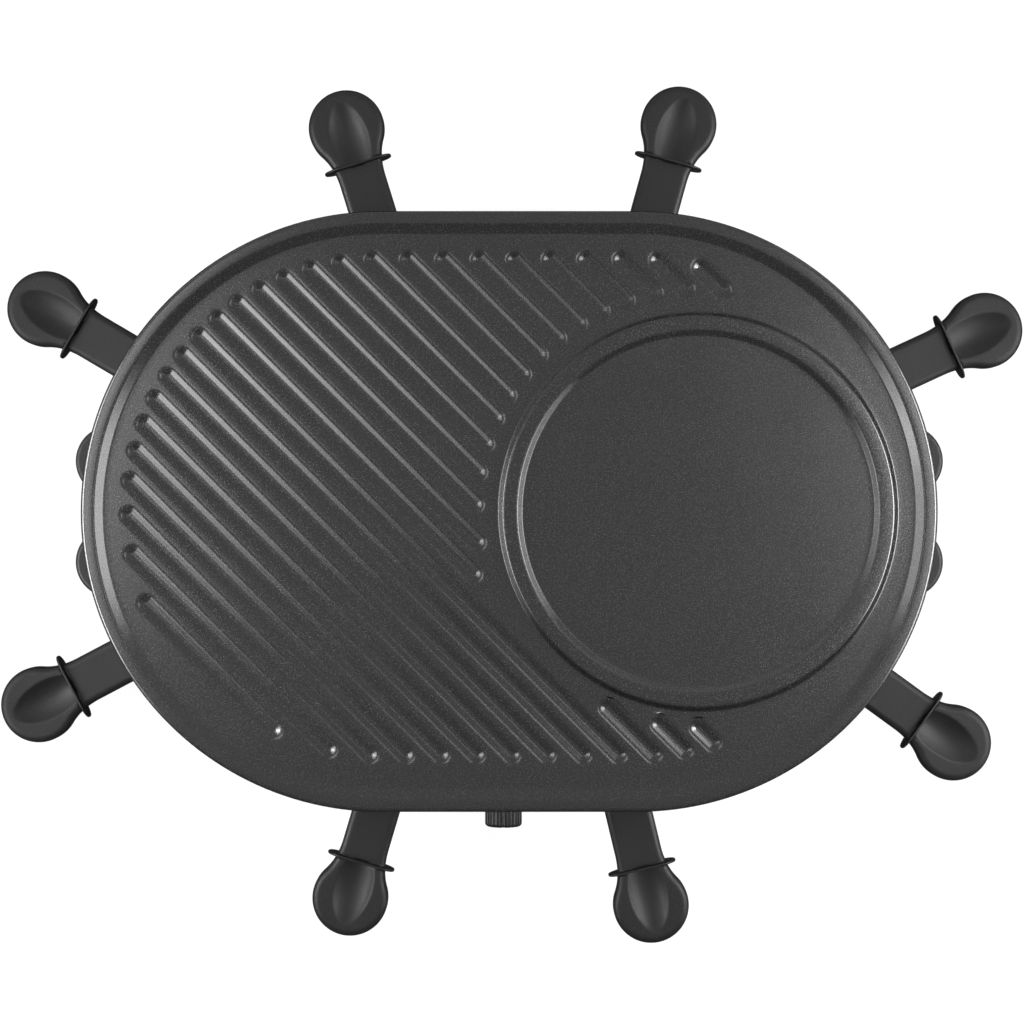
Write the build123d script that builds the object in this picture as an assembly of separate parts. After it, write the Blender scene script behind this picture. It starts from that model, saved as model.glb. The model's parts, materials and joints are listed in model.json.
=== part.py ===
from build123d import *
from collections import namedtuple
import math
import os

# Raclette grill for eight, in millimetres. A coated grill plate lies on a frame that holds a bent
# tube heater, and eight small pans stand on the deck below it. +Z is up, +Y is the back and +X the
# right. The origin is on the table, under the middle of the grill plate.

overrun = 1.0                    # how far a cutting shape reaches past the face that it opens
pick_reach = 0.3                 # how near an edge or corner lies to the place it is known by
seat_gap = 0.3                   # between a piece that lifts or slides and its seat
slide_gap = 0.2                  # between a piece and the slot or recess that it fits
shaft_gap = 0.05                 # round a turning or pushed-in shaft
screw_gap = 0.1                  # round a screw's or rivet's shank

# Grill plate: a stadium with a raised rim, a crepe ring and diagonal grooves
plate_length = 420.0
plate_width = 294.5
plate_thickness = 5.0
rim_rise = 3.6
rim_width = 6.4                  # from the outer edge to the start of the inner slope
rim_slope_width = 4.4
rim_edge_r = 3.0
skirt_depth = 13.0
skirt_wall = 3.0
stud_r = 5.0
stud_height = 4.9
stud_share = 0.94                # the studs' distance from the arc centres, of the frame's radius
stud_turns = (40, 140, 220, 320)

ring_outer_foot_r = 98.2
ring_margin = 19.0               # from the plate's end to the ring's foot
ring_width = 11.8                # foot to foot
ring_slope_width = 2.5
ring_height = 2.8

groove_pitch = 12.36
groove_phase = 2.9               # the groove next to the plate's centre passes it at this distance
groove_width = 8.3
groove_floor_width = 2.1
groove_depth = 1.6
groove_start_margin = 19.3       # from the plate's edge to the grooves' rear left tips
groove_end_margin = 23.4         # from the plate's edge to their front right tips
groove_ring_gap = 7.2            # from the grooves' front right tips to the ring's foot
ring_groove_gap = 4.0            # from the ring's foot to the next rear left tips
groove_least_length = 15.5
grazing_share = 0.88             # a groove that passes the ring's middle beyond this stops early
grazing_setback = 11.0

# Upper frame: a pressed channel under the plate
frame_side_gap = 4.2             # inside the plate's skirt
frame_height = 18.0
frame_sheet = 1.5
frame_top_flange = 14.0
frame_low_flange = 27.0

# Base shell, deck, cover and feet
cover_z = 5.0
cover_sheet = 1.5
base_height = 30.2
base_setback = 4.25              # its top edge inside the plate's edge
base_flare = 6.0                 # its bottom edge inside its top edge
base_wall = 2.5
base_shelf_width = 39.0
boss_r = 5.0
boss_inset = 14.0
boss_turns = (45, 135, 225, 315)
boss_side_share = 0.72           # of the arc centres' distance, for the bosses on the long sides
deck_sheet = 1.0
deck_rim_depth = 7.0
deck_edge_share = 0.8            # the pressed edge's radius, of the sheet
island_height = 2.5
island_gap = 4.0
island_slope = 3.0
island_corner_share = 0.7        # of the island's half width
ridge_height = 1.6
ridge_width = 7.0
ridge_crest_width = 3.0
ridge_start_share = (0.40, 0.36)
ridge_end_share = (0.61, 0.74)
foot_pad_r = 12.0
foot_taper = 1.5
foot_neck_r = 5.0
foot_head_r = 7.5
foot_head_height = 2.0
foot_place_share = (0.55, 0.61)
vent_length = 34.0
vent_width = 4.0
vent_pitch = 11.0
vent_count = 7

# Uprights: hollow pillars between the pans, with a cover on the inner side
upright_height = 50.0
upright_wall = 2.5
upright_foot = 10.0
upright_head = 8.0
upright_edge_r = 4.0
upright_cover = 2.0
cover_tongue_depth = 2.5
cover_tongue_height = 3.0
window_length = 20.0             # way for the wires through foot, deck and shelf
window_width = 12.0
window_corner_r = 2.0
end_inset = 15.05                # the end pillars' faces inside the deck's edge
end_face_half = 21.0
end_back_half = 15.0
end_depth = 24.0
end_screw_inset = 7.0
end_screw_half = 9.5
side_inset = 0.3
side_face_half = 17.0
side_back_half = 14.0
side_depth = 33.0
side_screw_inset = 12.0
side_screw_half = 10.0

# Side handles: a loop with two lobes
handle_lift = 27.8               # its middle above the deck
handle_height = 14.0
lobe_r = 18.0
lobe_spacing = 51.4
lobe_outreach = 10.5             # lobe centre beyond the upright's face
waist_outreach = 22.5
waist_blend_r = 10.0
rail_width = 6.0
handle_pad = 5.0                 # the loop's back bar against the upright
handle_edge_r = 2.2
handle_screw_spacing = 18.0

# Screws and rivets
screw_head_r = 3.0
screw_head_height = 2.2
screw_shank_r = 1.5
upright_screw_bite = 7.5         # length in the pillar's foot or head
boss_screw_bite = 9.5
back_screw_bite = 6.0
rivet_head_r = 3.0
rivet_head_height = 1.2
rivet_shank_r = 1.5

# Heater: one bent tube whose ends go down into the front upright
heater_lift = 8.3                # its middle above the frame's lower flange
heater_r = 3.25
heater_end_gap = 42.8            # from the frame's wall to the tube's middle
heater_side_gap = 45.05
heater_end_flat = 15.0           # half of the straight stretch at each end
heater_dent_y = 25.0
heater_dent_half = 14.0
heater_dent_r = 12.0
heater_leg_half = 8.0
heater_leg_inset = 23.0          # from the front pillar's face
heater_leg_r = 10.0
heater_hole_r = 4.5
insulator_r = 3.5
insulator_length = 6.5
pin_r = 1.2
pin_length = 8.0
clip_sheet = 1.5
clip_width = 10.0
clip_rivet_inset = 6.8           # from the frame's wall
clip_end = 4.5                   # from the rivet to the arm's end
clip_side_share = 0.9            # the side clips' place, of the arc centres' distance

# Thermostat, knob and lamp on the front upright; cord gland and terminal block on the rear one
knob_x = -3.0
knob_lift = 21.8                 # above the deck
knob_r = 9.45
knob_length = 16.8
knob_gap = 0.5
knob_dome = 1.5
knob_flutes = 24
knob_flute_r = 0.7
knob_flute_depth = 0.45
knob_recess_r = 7.4
knob_recess_depth = 5.0
knob_bore_depth = 13.5
pointer_width = 1.4
pointer_depth = 0.6
thermostat_width = 18.0
thermostat_height = 20.0
thermostat_depth = 13.0
thermostat_edge_r = 1.0
bush_r = 4.0
bush_length = 7.0
bush_bore_depth = 13.0
shaft_r = 3.0
nut_across = 12.0
nut_thickness = 2.5
lamp_rise = 15.5                 # above the knob
lamp_r = 2.9
lamp_flange_r = 3.9
lamp_flange = 0.8
lamp_dome = 1.4
lamp_length = 12.0
gland_lift = 23.8                # above the deck
gland_r = 5.8
gland_flange_r = 8.5
gland_flange = 2.0
gland_bore_r = 3.75
gland_length = 8.0
block_width = 21.0
block_height = 16.0
block_depth = 12.0
block_lift = 21.8                # its middle above the deck
block_ways = 3
block_groove = 1.2
wire_r = 1.3
wire_drop = 10.7                 # below the shelf
wire_bend_r = 9.0
wire_small_r = 3.0
wire_x = 8.0

# Pans: a pressed dish with a strap, a moulded handle with a finger guard, one screw
pan_unit_share = 0.7012          # the plate's width, of its length, in a grill of this shape
pan_length_share = 0.29202       # the dish's plan, of the smaller of width and length times that
pan_outer_half_share = 0.11545
pan_inner_half_share = 0.08489
pan_corner_share = 0.05093
pan_depth = 13.0
pan_sheet = 1.0
pan_lip = 3.0
pan_draft = 3.0
pan_reach = 66.0                 # from the pan's rim to the middle of the handle's bulb
strap_width = 14.0
strap_sheet = 1.5
strap_length = 32.0
bulb_r = 19.4
bulb_thickness = 13.0
bulb_edge_r = 3.6
bulb_blend_r = 14.0
neck_start = 6.0                 # from the pan's rim to the plastic
neck_width = 22.8
neck_guard_width = 26.3
neck_thickness = 9.5
neck_edge_r = 2.2
guard_place = 19.7               # from the middle of the bulb
guard_width = 35.6
guard_height = 17.0
guard_corner_r = 7.5
guard_sheet = 1.4
scoop_depth = 4.0
scoop_half_width = 9.8
scoop_length = 32.0
strap_screw_margin = 12.0        # from the strap's end to the screw
pan_screw_head_r = 2.6
pan_screw_head_height = 1.6
pan_screw_shank_r = 1.3
pan_screw_sink = 0.4
pan_screw_bite = 2.0

# Each pan's bulb, as shares of half the plate's length and width, and the way that it points. Along
# its own side of the grill it is measured from the face of the pillar there, which comes on top
pan_place_shares = {
    1: (-0.319, 1.343),
    2: (0.335, 1.356),
    3: (1.167, 0.4914),
    4: (1.090, -0.6674),
    5: (0.267, -1.378),
    6: (-0.310, -1.353),
    7: (-1.155, -0.5334),
    8: (-1.140, 0.5674),
}
pan_turns = {1: 107.2, 2: 74.5, 3: 24.8, 4: 324.0, 5: 283.5, 6: 253.5, 7: 207.8, 8: 149.5}

# Radii and places that follow
end_r = plate_width / 2
arc_x = (plate_length - plate_width) / 2
ring_centre_x = plate_length / 2 - ring_margin - ring_outer_foot_r
frame_r = end_r - skirt_wall - frame_side_gap
base_top_r = end_r - base_setback
base_foot_r = base_top_r - base_flare
deck_r = base_top_r + seat_gap + deck_sheet
side_reach = deck_r - side_inset
end_reach = arc_x + deck_r - end_inset
heater_half_length = arc_x + frame_r - heater_end_gap
heater_half_width = frame_r - heater_side_gap
heater_leg_y = side_reach - heater_leg_inset
pan_unit = min(plate_width, plate_length * pan_unit_share)
pan_length = pan_unit * pan_length_share
pan_outer_half = pan_unit * pan_outer_half_share
pan_inner_half = pan_unit * pan_inner_half_share
pan_corner_r = pan_unit * pan_corner_share
pan_screw_place = pan_reach - strap_length + strap_screw_margin

# Heights that follow, from the table up
cover_top_z = cover_z + cover_sheet
base_top_z = cover_z + base_height
shelf_z = base_top_z - base_wall
deck_z = base_top_z + deck_sheet
foot_top_z = deck_z + upright_foot
frame_z = deck_z + upright_height
head_z = frame_z - upright_head
cover_screw_z = frame_z - upright_head / 2
flange_z = frame_z + frame_sheet
frame_top_z = frame_z + frame_height
under_z = frame_top_z + seat_gap + stud_height
surface_z = under_z + plate_thickness
plate_top = surface_z + rim_rise
heater_z = flange_z + heater_lift
heater_end_z = head_z + seat_gap
handle_z = deck_z + handle_lift
knob_z = deck_z + knob_lift
lamp_z = knob_z + lamp_rise
gland_z = deck_z + gland_lift
block_z = deck_z + block_lift
wire_low_z = shelf_z - wire_drop
pan_z = deck_z + seat_gap
pan_top_z = pan_z + pan_depth
strap_z = pan_top_z - pan_sheet - strap_sheet / 2

# The four pillars: the way each one faces, and its plan
Upright = namedtuple("Upright", "turn reach face_half back_half depth screw_inset screw_half")
side_sizes = (side_reach, side_face_half, side_back_half, side_depth, side_screw_inset, side_screw_half)
end_sizes = (end_reach, end_face_half, end_back_half, end_depth, end_screw_inset, end_screw_half)
uprights = {
    "front": Upright(-90, *side_sizes),
    "rear": Upright(90, *side_sizes),
    "left": Upright(180, *end_sizes),
    "right": Upright(0, *end_sizes),
}


def stadium(radius, z=0.0):
    """Straight-sided oval about the plate's two arc centres."""
    return Plane.XY.offset(z) * SlotCenterToCenter(2 * arc_x, 2 * radius)


def ring_wall(outer_r, inner_r, low_z, high_z):
    """Upright oval wall between two radii."""
    return extrude(stadium(outer_r, low_z) - stadium(inner_r, low_z), high_z - low_z)


def tapered(low_sketch, high_sketch):
    """Solid with straight sides between two outlines."""
    return loft([low_sketch.face(), high_sketch.face()], ruled=True)


def post(radius, low_z, high_z, x=0.0, y=0.0):
    """Upright round bar."""
    return Pos(x, y, low_z) * extrude(Circle(radius), high_z - low_z)


def outward_bar(radius, start_x, end_x, y, z):
    """Round bar along the outward direction."""
    return extrude(Plane((start_x, y, z), x_dir=(0, 1, 0), z_dir=(1, 0, 0)) * Circle(radius),
                   end_x - start_x)


def slab(low_x, high_x, half_width, low_z, high_z, y=0.0):
    """Plain block along the outward direction."""
    middle = ((low_x + high_x) / 2, y, (low_z + high_z) / 2)
    return Pos(*middle) * Box(high_x - low_x, 2 * half_width, high_z - low_z)


def tube(points, bends, radius):
    """Round wire or tube along straight runs joined by bends."""
    if len(points) == 2:
        path = Line(*points)
    else:
        path = FilletPolyline(*points, radius=bends)
    return sweep(Plane(origin=path @ 0, z_dir=path % 0) * Circle(radius), path=path)


def oval_point(radius, turn):
    """Point on the oval of this radius, at this turn about the nearer arc centre."""
    side = math.copysign(arc_x, math.cos(math.radians(turn)))
    return (side + radius * math.cos(math.radians(turn)), radius * math.sin(math.radians(turn)))


def screw(x, y, z, length, up=False):
    """Screw whose head rests on height z, with its shank downwards, or upwards."""
    body = post(screw_head_r, 0, screw_head_height) + post(screw_shank_r, -length, 0)
    if up:
        body = Rot(180, 0, 0) * body
    return Pos(x, y, z) * body


# Grill plate
def groove_ends():
    """Start and end of each groove's middle line: two points from edge to ring or edge to edge."""
    tip = groove_width / 2
    start_r = end_r - groove_start_margin - tip
    exit_r = end_r - groove_end_margin - tip
    stop_r = ring_outer_foot_r + groove_ring_gap + tip
    resume_r = ring_outer_foot_r + ring_groove_gap + tip
    along = Vector(1, -1, 0).normalized()
    across = Vector(1, 1, 0).normalized()
    first = -math.floor((start_r + arc_x) / groove_pitch)
    runs = []
    for step in range(first, -first + 1):
        base = across * (groove_phase + step * groove_pitch)
        start_reach = oval_reach(base, along, start_r)
        end_reach = oval_reach(base, along, exit_r)
        if start_reach is None or end_reach is None:
            continue
        start, end = start_reach[0], end_reach[1]
        pieces = [(start, end)]
        offset_x = Vector(ring_centre_x, 0, 0) - base
        middle = offset_x.dot(along)
        distance = (offset_x - along * middle).length
        if distance < stop_r:
            setback = grazing_setback if distance > grazing_share * stop_r else 0
            stop = middle - math.sqrt(stop_r ** 2 - distance ** 2) - setback
            resume = middle + math.sqrt(max(resume_r ** 2 - distance ** 2, 0))
            pieces = [(start, stop), (resume, end)]
        for low, high in pieces:
            if high - low + groove_width > groove_least_length:
                runs.append((base + along * low, base + along * high))
    return runs


def oval_reach(base, along, radius):
    """How far the line through base stays inside the oval of this radius, both ways."""
    inside = []
    for side in (-1, 1):
        offset_x = Vector(side * arc_x, 0, 0) - base
        middle = offset_x.dot(along)
        gap = (offset_x - along * middle).length
        if gap < radius:
            half = math.sqrt(radius ** 2 - gap ** 2)
            for place in (middle - half, middle + half):
                if side * (base + along * place).X >= arc_x:
                    inside.append(place)
    for edge in (-radius, radius):
        place = (edge - base.Y) / along.Y
        if abs((base + along * place).X) < arc_x:
            inside.append(place)
    if len(inside) < 2:
        return None
    return min(inside), max(inside)


def groove_cutter(start, end):
    """Trough with rounded ends: a narrow floor that widens to the surface."""
    middle = (start + end) / 2
    turn = math.degrees(math.atan2(end.Y - start.Y, end.X - start.X))
    length = (end - start).length
    slope = (groove_width - groove_floor_width) / groove_depth
    open_width = groove_width + slope * overrun
    floor = SlotCenterToCenter(length, groove_floor_width)
    mouth = Pos(0, 0, groove_depth + overrun) * SlotCenterToCenter(length, open_width)
    place = Pos(middle.X, middle.Y, surface_z - groove_depth) * Rot(0, 0, turn)
    return place * tapered(floor, mouth)


def crepe_ring():
    """Low raised ring with sloped flanks, its foot sunk into the plate."""
    inner_foot_r = ring_outer_foot_r - ring_width
    flank = [
        (inner_foot_r, -overrun),
        (inner_foot_r, 0),
        (inner_foot_r + ring_slope_width, ring_height),
        (ring_outer_foot_r - ring_slope_width, ring_height),
        (ring_outer_foot_r, 0),
        (ring_outer_foot_r, -overrun),
    ]
    profile = make_face(Polyline(*[(r, 0, z) for r, z in flank], close=True))
    return Pos(ring_centre_x, 0, surface_z) * revolve(profile, Axis.Z)


def grill_plate():
    plate = extrude(stadium(end_r, under_z), plate_top - under_z)
    top_edges = plate.faces().sort_by(Axis.Z)[-1].edges()
    plate = fillet(top_edges, rim_edge_r)
    foot_r = end_r - rim_width - rim_slope_width
    slope = rim_slope_width / rim_rise
    mouth_r = foot_r + rim_slope_width + slope * overrun
    plate -= tapered(stadium(foot_r, surface_z), stadium(mouth_r, plate_top + overrun))
    plate += ring_wall(end_r, end_r - skirt_wall, plate_top - skirt_depth, under_z)
    plate += crepe_ring()
    for turn in stud_turns:
        x, y = oval_point(frame_r * stud_share, turn)
        plate += post(stud_r, frame_top_z + seat_gap, under_z, x, y)
    cutters = [groove_cutter(start, end) for start, end in groove_ends()]
    return plate.cut(*cutters)


# Frame and heater
def upright_screw_places(upright):
    """The two screws of an upright, in its own outward frame."""
    x = upright.reach - upright.screw_inset
    return [(x, -upright.screw_half), (x, upright.screw_half)]


def clip_places():
    """The point on the heater that each clip holds, its outward turn and its rivet's distance."""
    end_reach_out = heater_end_gap - clip_rivet_inset
    side_reach_out = heater_side_gap - clip_rivet_inset
    side_x = arc_x * clip_side_share
    places = [(heater_half_length, 0, uprights["right"].turn, end_reach_out),
              (-heater_half_length, 0, uprights["left"].turn, end_reach_out)]
    for x in (-side_x, side_x):
        places.append((x, heater_half_width, 90, side_reach_out))
        places.append((x, -heater_half_width, -90, side_reach_out))
    return places


def upper_frame():
    frame = ring_wall(frame_r, frame_r - frame_sheet, frame_z, frame_top_z)
    frame += ring_wall(frame_r, frame_r - frame_top_flange, frame_top_z - frame_sheet, frame_top_z)
    frame += ring_wall(frame_r, frame_r - frame_low_flange, frame_z, flange_z)
    holes = []
    for upright in uprights.values():
        for x, y in upright_screw_places(upright):
            holes.append(Rot(0, 0, upright.turn) * hole(screw_shank_r, x, y))
    for x, y, turn, reach in clip_places():
        holes.append(Pos(x, y) * Rot(0, 0, turn) * hole(rivet_shank_r, reach, 0))
    for side in (-1, 1):
        leg = post(heater_hole_r, frame_z - overrun, flange_z + overrun)
        holes.append(Pos(side * heater_leg_half, -heater_leg_y) * leg)
    return frame.cut(*holes)


def hole(shank_r, x, y):
    """Hole through the frame's lower flange."""
    return post(shank_r + screw_gap, frame_z - overrun, flange_z + overrun, x, y)


def heating_element():
    leg, dent = heater_leg_half, heater_dent_half
    length, width = heater_half_length, heater_half_width
    corner_r = heater_half_width - heater_end_flat
    right = [
        (dent, heater_dent_y, heater_z),
        (dent, width, heater_z),
        (length, width, heater_z),
        (length, -width, heater_z),
        (leg, -width, heater_z),
        (leg, -heater_leg_y, heater_z),
        (leg, -heater_leg_y, heater_end_z),
    ]
    bends = [heater_dent_r, heater_dent_r, corner_r, corner_r, heater_leg_r, heater_leg_r]
    left = [(-x, y, z) for x, y, z in reversed(right)]
    return tube(left + right, bends[::-1] + bends, heater_r)


def element_insulators():
    beads = []
    for side in (-1, 1):
        bead = post(insulator_r, heater_end_z - insulator_length, heater_end_z)
        beads.append(Pos(side * heater_leg_half, -heater_leg_y) * bead)
    return beads


def terminal_pins():
    top_z = heater_end_z - insulator_length
    pins = []
    for side in (-1, 1):
        pin = post(pin_r, top_z - pin_length, top_z)
        pins.append(Pos(side * heater_leg_half, -heater_leg_y) * pin)
    return pins


def element_clips():
    """Flat arms on the frame's flange, each with a half-round cradle under the tube."""
    inner_r = heater_r + seat_gap
    outer_r = inner_r + clip_sheet
    stem_height = heater_lift - inner_r - clip_sheet / 2
    upper_half = Pos(0, outer_r) * Rectangle(2 * (outer_r + overrun), 2 * outer_r)
    cradle = Circle(outer_r) - Circle(inner_r) - upper_half
    stem = Pos(0, stem_height / 2 - heater_lift) * Rectangle(clip_sheet, stem_height)
    clips = []
    for x, y, turn, reach in clip_places():
        arm_length = reach + clip_end + clip_sheet / 2
        arm_middle = (reach + clip_end - clip_sheet / 2) / 2
        arm = Pos(arm_middle, clip_sheet / 2 - heater_lift) * Rectangle(arm_length, clip_sheet)
        clip = extrude(Plane.XZ * (cradle + stem + arm), clip_width / 2, both=True)
        clip -= post(rivet_shank_r + screw_gap, -heater_lift - overrun,
                     clip_sheet + overrun - heater_lift, reach)
        clips.append(Pos(x, y, heater_z) * Rot(0, 0, turn) * clip)
    return clips


def clip_rivets():
    top_z = flange_z + clip_sheet
    rivets = []
    for x, y, turn, reach in clip_places():
        rivet = post(rivet_shank_r, frame_z, top_z)
        rivet += post(rivet_head_r, top_z, top_z + rivet_head_height)
        rivet += post(rivet_head_r, frame_z - rivet_head_height, frame_z)
        rivets.append(Pos(x, y) * Rot(0, 0, turn) * Pos(reach, 0) * rivet)
    return rivets


# Uprights, in a frame whose X points outward
def tapered_plan(upright, inset, back_extra):
    """The pillar's plan, drawn in by a wall and reaching past its open back."""
    narrowing = (upright.face_half - upright.back_half) / upright.depth
    face_x = upright.reach - inset
    back_x = upright.reach - upright.depth - back_extra
    face_half = upright.face_half - inset - narrowing * inset
    back_half = upright.back_half - inset - narrowing * back_extra
    return make_face(Polyline((face_x, -face_half), (face_x, face_half), (back_x, back_half),
                              (back_x, -back_half), close=True))


def pillar(upright):
    body = extrude(Plane.XY.offset(deck_z) * tapered_plan(upright, 0, 0), upright_height)
    outer_edges = body.edges().filter_by(Axis.Z).group_by(Axis.X)[-1]
    body = fillet(outer_edges, upright_edge_r)
    cavity = tapered_plan(upright, upright_wall, overrun)
    body -= extrude(Plane.XY.offset(foot_top_z) * cavity, head_z - foot_top_z)
    for x, y in upright_screw_places(upright):
        body -= post(screw_shank_r + screw_gap, deck_z - overrun, frame_z + overrun, x, y)
    return body


def wire_window(upright, low_z, high_z):
    """Way through which the wires pass up into a pillar."""
    plan = RectangleRounded(window_width, window_length, window_corner_r)
    return extrude(Pos(window_middle(upright), 0, low_z) * plan, high_z - low_z)


def window_middle(upright):
    """How far out the wires' way lies."""
    return upright.reach - upright.depth + upright_cover + window_width / 2


def pillar_cover(upright):
    """Plate over the open back, with a tongue that hooks in over the pillar's foot."""
    back_x = upright.reach - upright.depth
    cover = slab(back_x - upright_cover, back_x, upright.back_half - slide_gap,
                 deck_z + seat_gap, frame_z - seat_gap)
    cover += slab(back_x - upright_cover / 2, back_x + cover_tongue_depth,
                  upright.back_half - upright_wall - slide_gap,
                  foot_top_z + seat_gap, foot_top_z + cover_tongue_height)
    cover -= outward_bar(screw_shank_r + screw_gap, back_x - upright_cover - overrun,
                         back_x + overrun, 0, cover_screw_z)
    return cover


def pillar_cover_screw(upright):
    """Screw through the cover's upper end into the pillar's head."""
    face_x = upright.reach - upright.depth - upright_cover
    end_x = face_x + upright_cover + back_screw_bite
    return (outward_bar(screw_head_r, face_x - screw_head_height, face_x, 0, cover_screw_z)
            + outward_bar(screw_shank_r, face_x, end_x, 0, cover_screw_z))


def finished_pillar(name):
    """Pillar with the holes for what it carries."""
    upright = uprights[name]
    body = pillar(upright)
    face_x = upright.reach
    back_x = upright.reach - upright.depth
    body -= outward_bar(screw_shank_r + screw_gap, back_x - overrun,
                        back_x + back_screw_bite + seat_gap, 0, cover_screw_z)
    if name in ("front", "rear"):
        body -= wire_window(upright, deck_z - overrun, foot_top_z + overrun)
    if name == "front":
        wall_x = face_x - upright_wall - overrun
        body -= outward_bar(bush_r + screw_gap, wall_x, face_x + overrun, knob_x, knob_z)
        body -= outward_bar(lamp_r + screw_gap, wall_x, face_x + overrun, knob_x, lamp_z)
        for side in (-1, 1):
            body -= post(heater_hole_r, head_z - overrun, frame_z + overrun, heater_leg_y,
                         side * heater_leg_half)
    if name == "rear":
        wall_x = face_x - upright_wall - overrun
        body -= outward_bar(gland_r + screw_gap, wall_x, face_x + overrun, 0, gland_z)
        body -= post(wire_r + slide_gap, head_z - overrun, frame_z + overrun, block_x(), wire_x)
    if name in ("left", "right"):
        for side in (-1, 1):
            y = side * handle_screw_spacing / 2
            body -= outward_bar(screw_shank_r + screw_gap, face_x - upright_wall - overrun,
                                face_x + overrun, y, handle_z)
    return Rot(0, 0, upright.turn) * body


def upright_screws():
    """Two screws down from the frame and two up from the base shell, at each upright."""
    screws = []
    for upright in uprights.values():
        for x, y in upright_screw_places(upright):
            upper = screw(x, y, flange_z, frame_sheet + upright_screw_bite)
            lower = screw(x, y, shelf_z, base_wall + deck_sheet + upright_screw_bite, up=True)
            screws += [Rot(0, 0, upright.turn) * upper, Rot(0, 0, upright.turn) * lower]
    return screws


# Side handles
def lobed_plan(upright, inset, back_x):
    """Two round lobes with a shallow waist between them, drawn in by the rail's width."""
    lobe_x = upright.reach + lobe_outreach
    waist_x = upright.reach + waist_outreach - inset
    middle_x = (lobe_x + waist_x) / 2
    plan = Pos(middle_x, 0) * Rectangle(waist_x - lobe_x, lobe_spacing)
    for side in (-1, 1):
        plan += Pos(lobe_x, side * lobe_spacing / 2) * Circle(lobe_r - inset)
    back_half = lobe_spacing / 2 + lobe_r - inset
    waist = [corner for corner in plan.vertices() if abs(corner.X - waist_x) < pick_reach]
    plan = fillet(waist, waist_blend_r)
    plan += Pos((lobe_x + back_x) / 2, 0) * Rectangle(lobe_x - back_x, lobe_spacing)
    plan -= Pos(back_x - lobe_r / 2, 0) * Rectangle(lobe_r, 2 * back_half + lobe_r)
    return plan


def side_handle(name):
    upright = uprights[name]
    low_z = handle_z - handle_height / 2
    loop = extrude(Pos(0, 0, low_z) * lobed_plan(upright, 0, upright.reach), handle_height)
    rim = loop.faces().sort_by(Axis.Z)
    outer_edges = [edge for edge in rim[-1].edges() + rim[0].edges()
                   if edge.center().X > upright.reach + pick_reach]
    loop = fillet(outer_edges, handle_edge_r)
    gap = lobed_plan(upright, rail_width, upright.reach + handle_pad)
    loop -= extrude(Pos(0, 0, low_z - overrun) * gap, handle_height + 2 * overrun)
    for side in (-1, 1):
        y = side * handle_screw_spacing / 2
        loop -= outward_bar(screw_shank_r + screw_gap, upright.reach - overrun,
                            upright.reach + handle_pad + overrun, y, handle_z)
    return Rot(0, 0, upright.turn) * loop


def handle_screws():
    screws = []
    for name in ("left", "right"):
        upright = uprights[name]
        wall_x = upright.reach - upright_wall
        for side in (-1, 1):
            y = side * handle_screw_spacing / 2
            body = outward_bar(screw_head_r, wall_x - screw_head_height, wall_x, y, handle_z)
            body += outward_bar(screw_shank_r, wall_x, upright.reach + handle_pad, y, handle_z)
            screws.append(Rot(0, 0, upright.turn) * body)
    return screws


# Thermostat, knob and lamp, in the front upright's outward frame
def front(shape):
    return Rot(0, 0, uprights["front"].turn) * shape


def thermostat():
    wall_x = side_reach - upright_wall
    body = slab(wall_x - thermostat_depth, wall_x, thermostat_width / 2,
                knob_z - thermostat_height / 2, knob_z + thermostat_height / 2, knob_x)
    body = fillet(body.edges().filter_by(Axis.X), thermostat_edge_r)
    body += outward_bar(bush_r, wall_x, wall_x + bush_length, knob_x, knob_z)
    body -= outward_bar(shaft_r + shaft_gap, wall_x + bush_length - bush_bore_depth,
                        wall_x + bush_length + overrun, knob_x, knob_z)
    return front(body)


def thermostat_nut():
    plane = Plane((side_reach, knob_x, knob_z), x_dir=(0, 1, 0), z_dir=(1, 0, 0))
    plan = RegularPolygon(nut_across / 2, 6, major_radius=False) - Circle(bush_r + screw_gap)
    return front(extrude(plane * plan, nut_thickness))


def knob_back_x():
    return side_reach + knob_gap


def thermostat_shaft():
    start_x = side_reach - upright_wall + bush_length - bush_bore_depth + seat_gap
    end_x = knob_back_x() + knob_bore_depth - seat_gap
    return front(outward_bar(shaft_r, start_x, end_x, knob_x, knob_z))


def temperature_knob():
    """Fluted cap with a domed front, a hollow back over the nut and a blind bore."""
    plan = Circle(knob_r)
    flute = Pos(knob_r + knob_flute_r - knob_flute_depth, 0) * Circle(knob_flute_r)
    for step in range(knob_flutes):
        plan -= Rot(0, 0, 360 * step / knob_flutes) * flute
    body = extrude(plan, knob_length - knob_dome)
    crown_r = knob_r - knob_flute_r
    body += Pos(0, 0, knob_length - knob_dome) * tapered(
        Circle(crown_r), Pos(0, 0, knob_dome) * Circle(crown_r - knob_dome))
    body -= post(knob_recess_r, -overrun, knob_recess_depth)
    body -= post(shaft_r + shaft_gap, 0, knob_bore_depth)
    pointer = Pos(crown_r / 2, 0, knob_length) * Box(crown_r, pointer_width, 2 * pointer_depth)
    body -= pointer
    plane = Plane((knob_back_x(), knob_x, knob_z), x_dir=(0, 0, 1), z_dir=(1, 0, 0))
    return front(plane.location * body)


def indicator_lamp():
    face_x = side_reach
    body = outward_bar(lamp_r, face_x - lamp_length, face_x, knob_x, lamp_z)
    body += outward_bar(lamp_flange_r, face_x, face_x + lamp_flange, knob_x, lamp_z)
    plane = Plane((face_x + lamp_flange, knob_x, lamp_z), x_dir=(0, 1, 0), z_dir=(1, 0, 0))
    body += plane.location * tapered(Circle(lamp_r), Pos(0, 0, lamp_dome) * Circle(lamp_r - lamp_dome))
    return front(body)


# Cord gland, terminal block and wires
def rear(shape):
    return Rot(0, 0, uprights["rear"].turn) * shape


def block_x():
    return side_reach - side_depth + block_depth / 2


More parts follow.
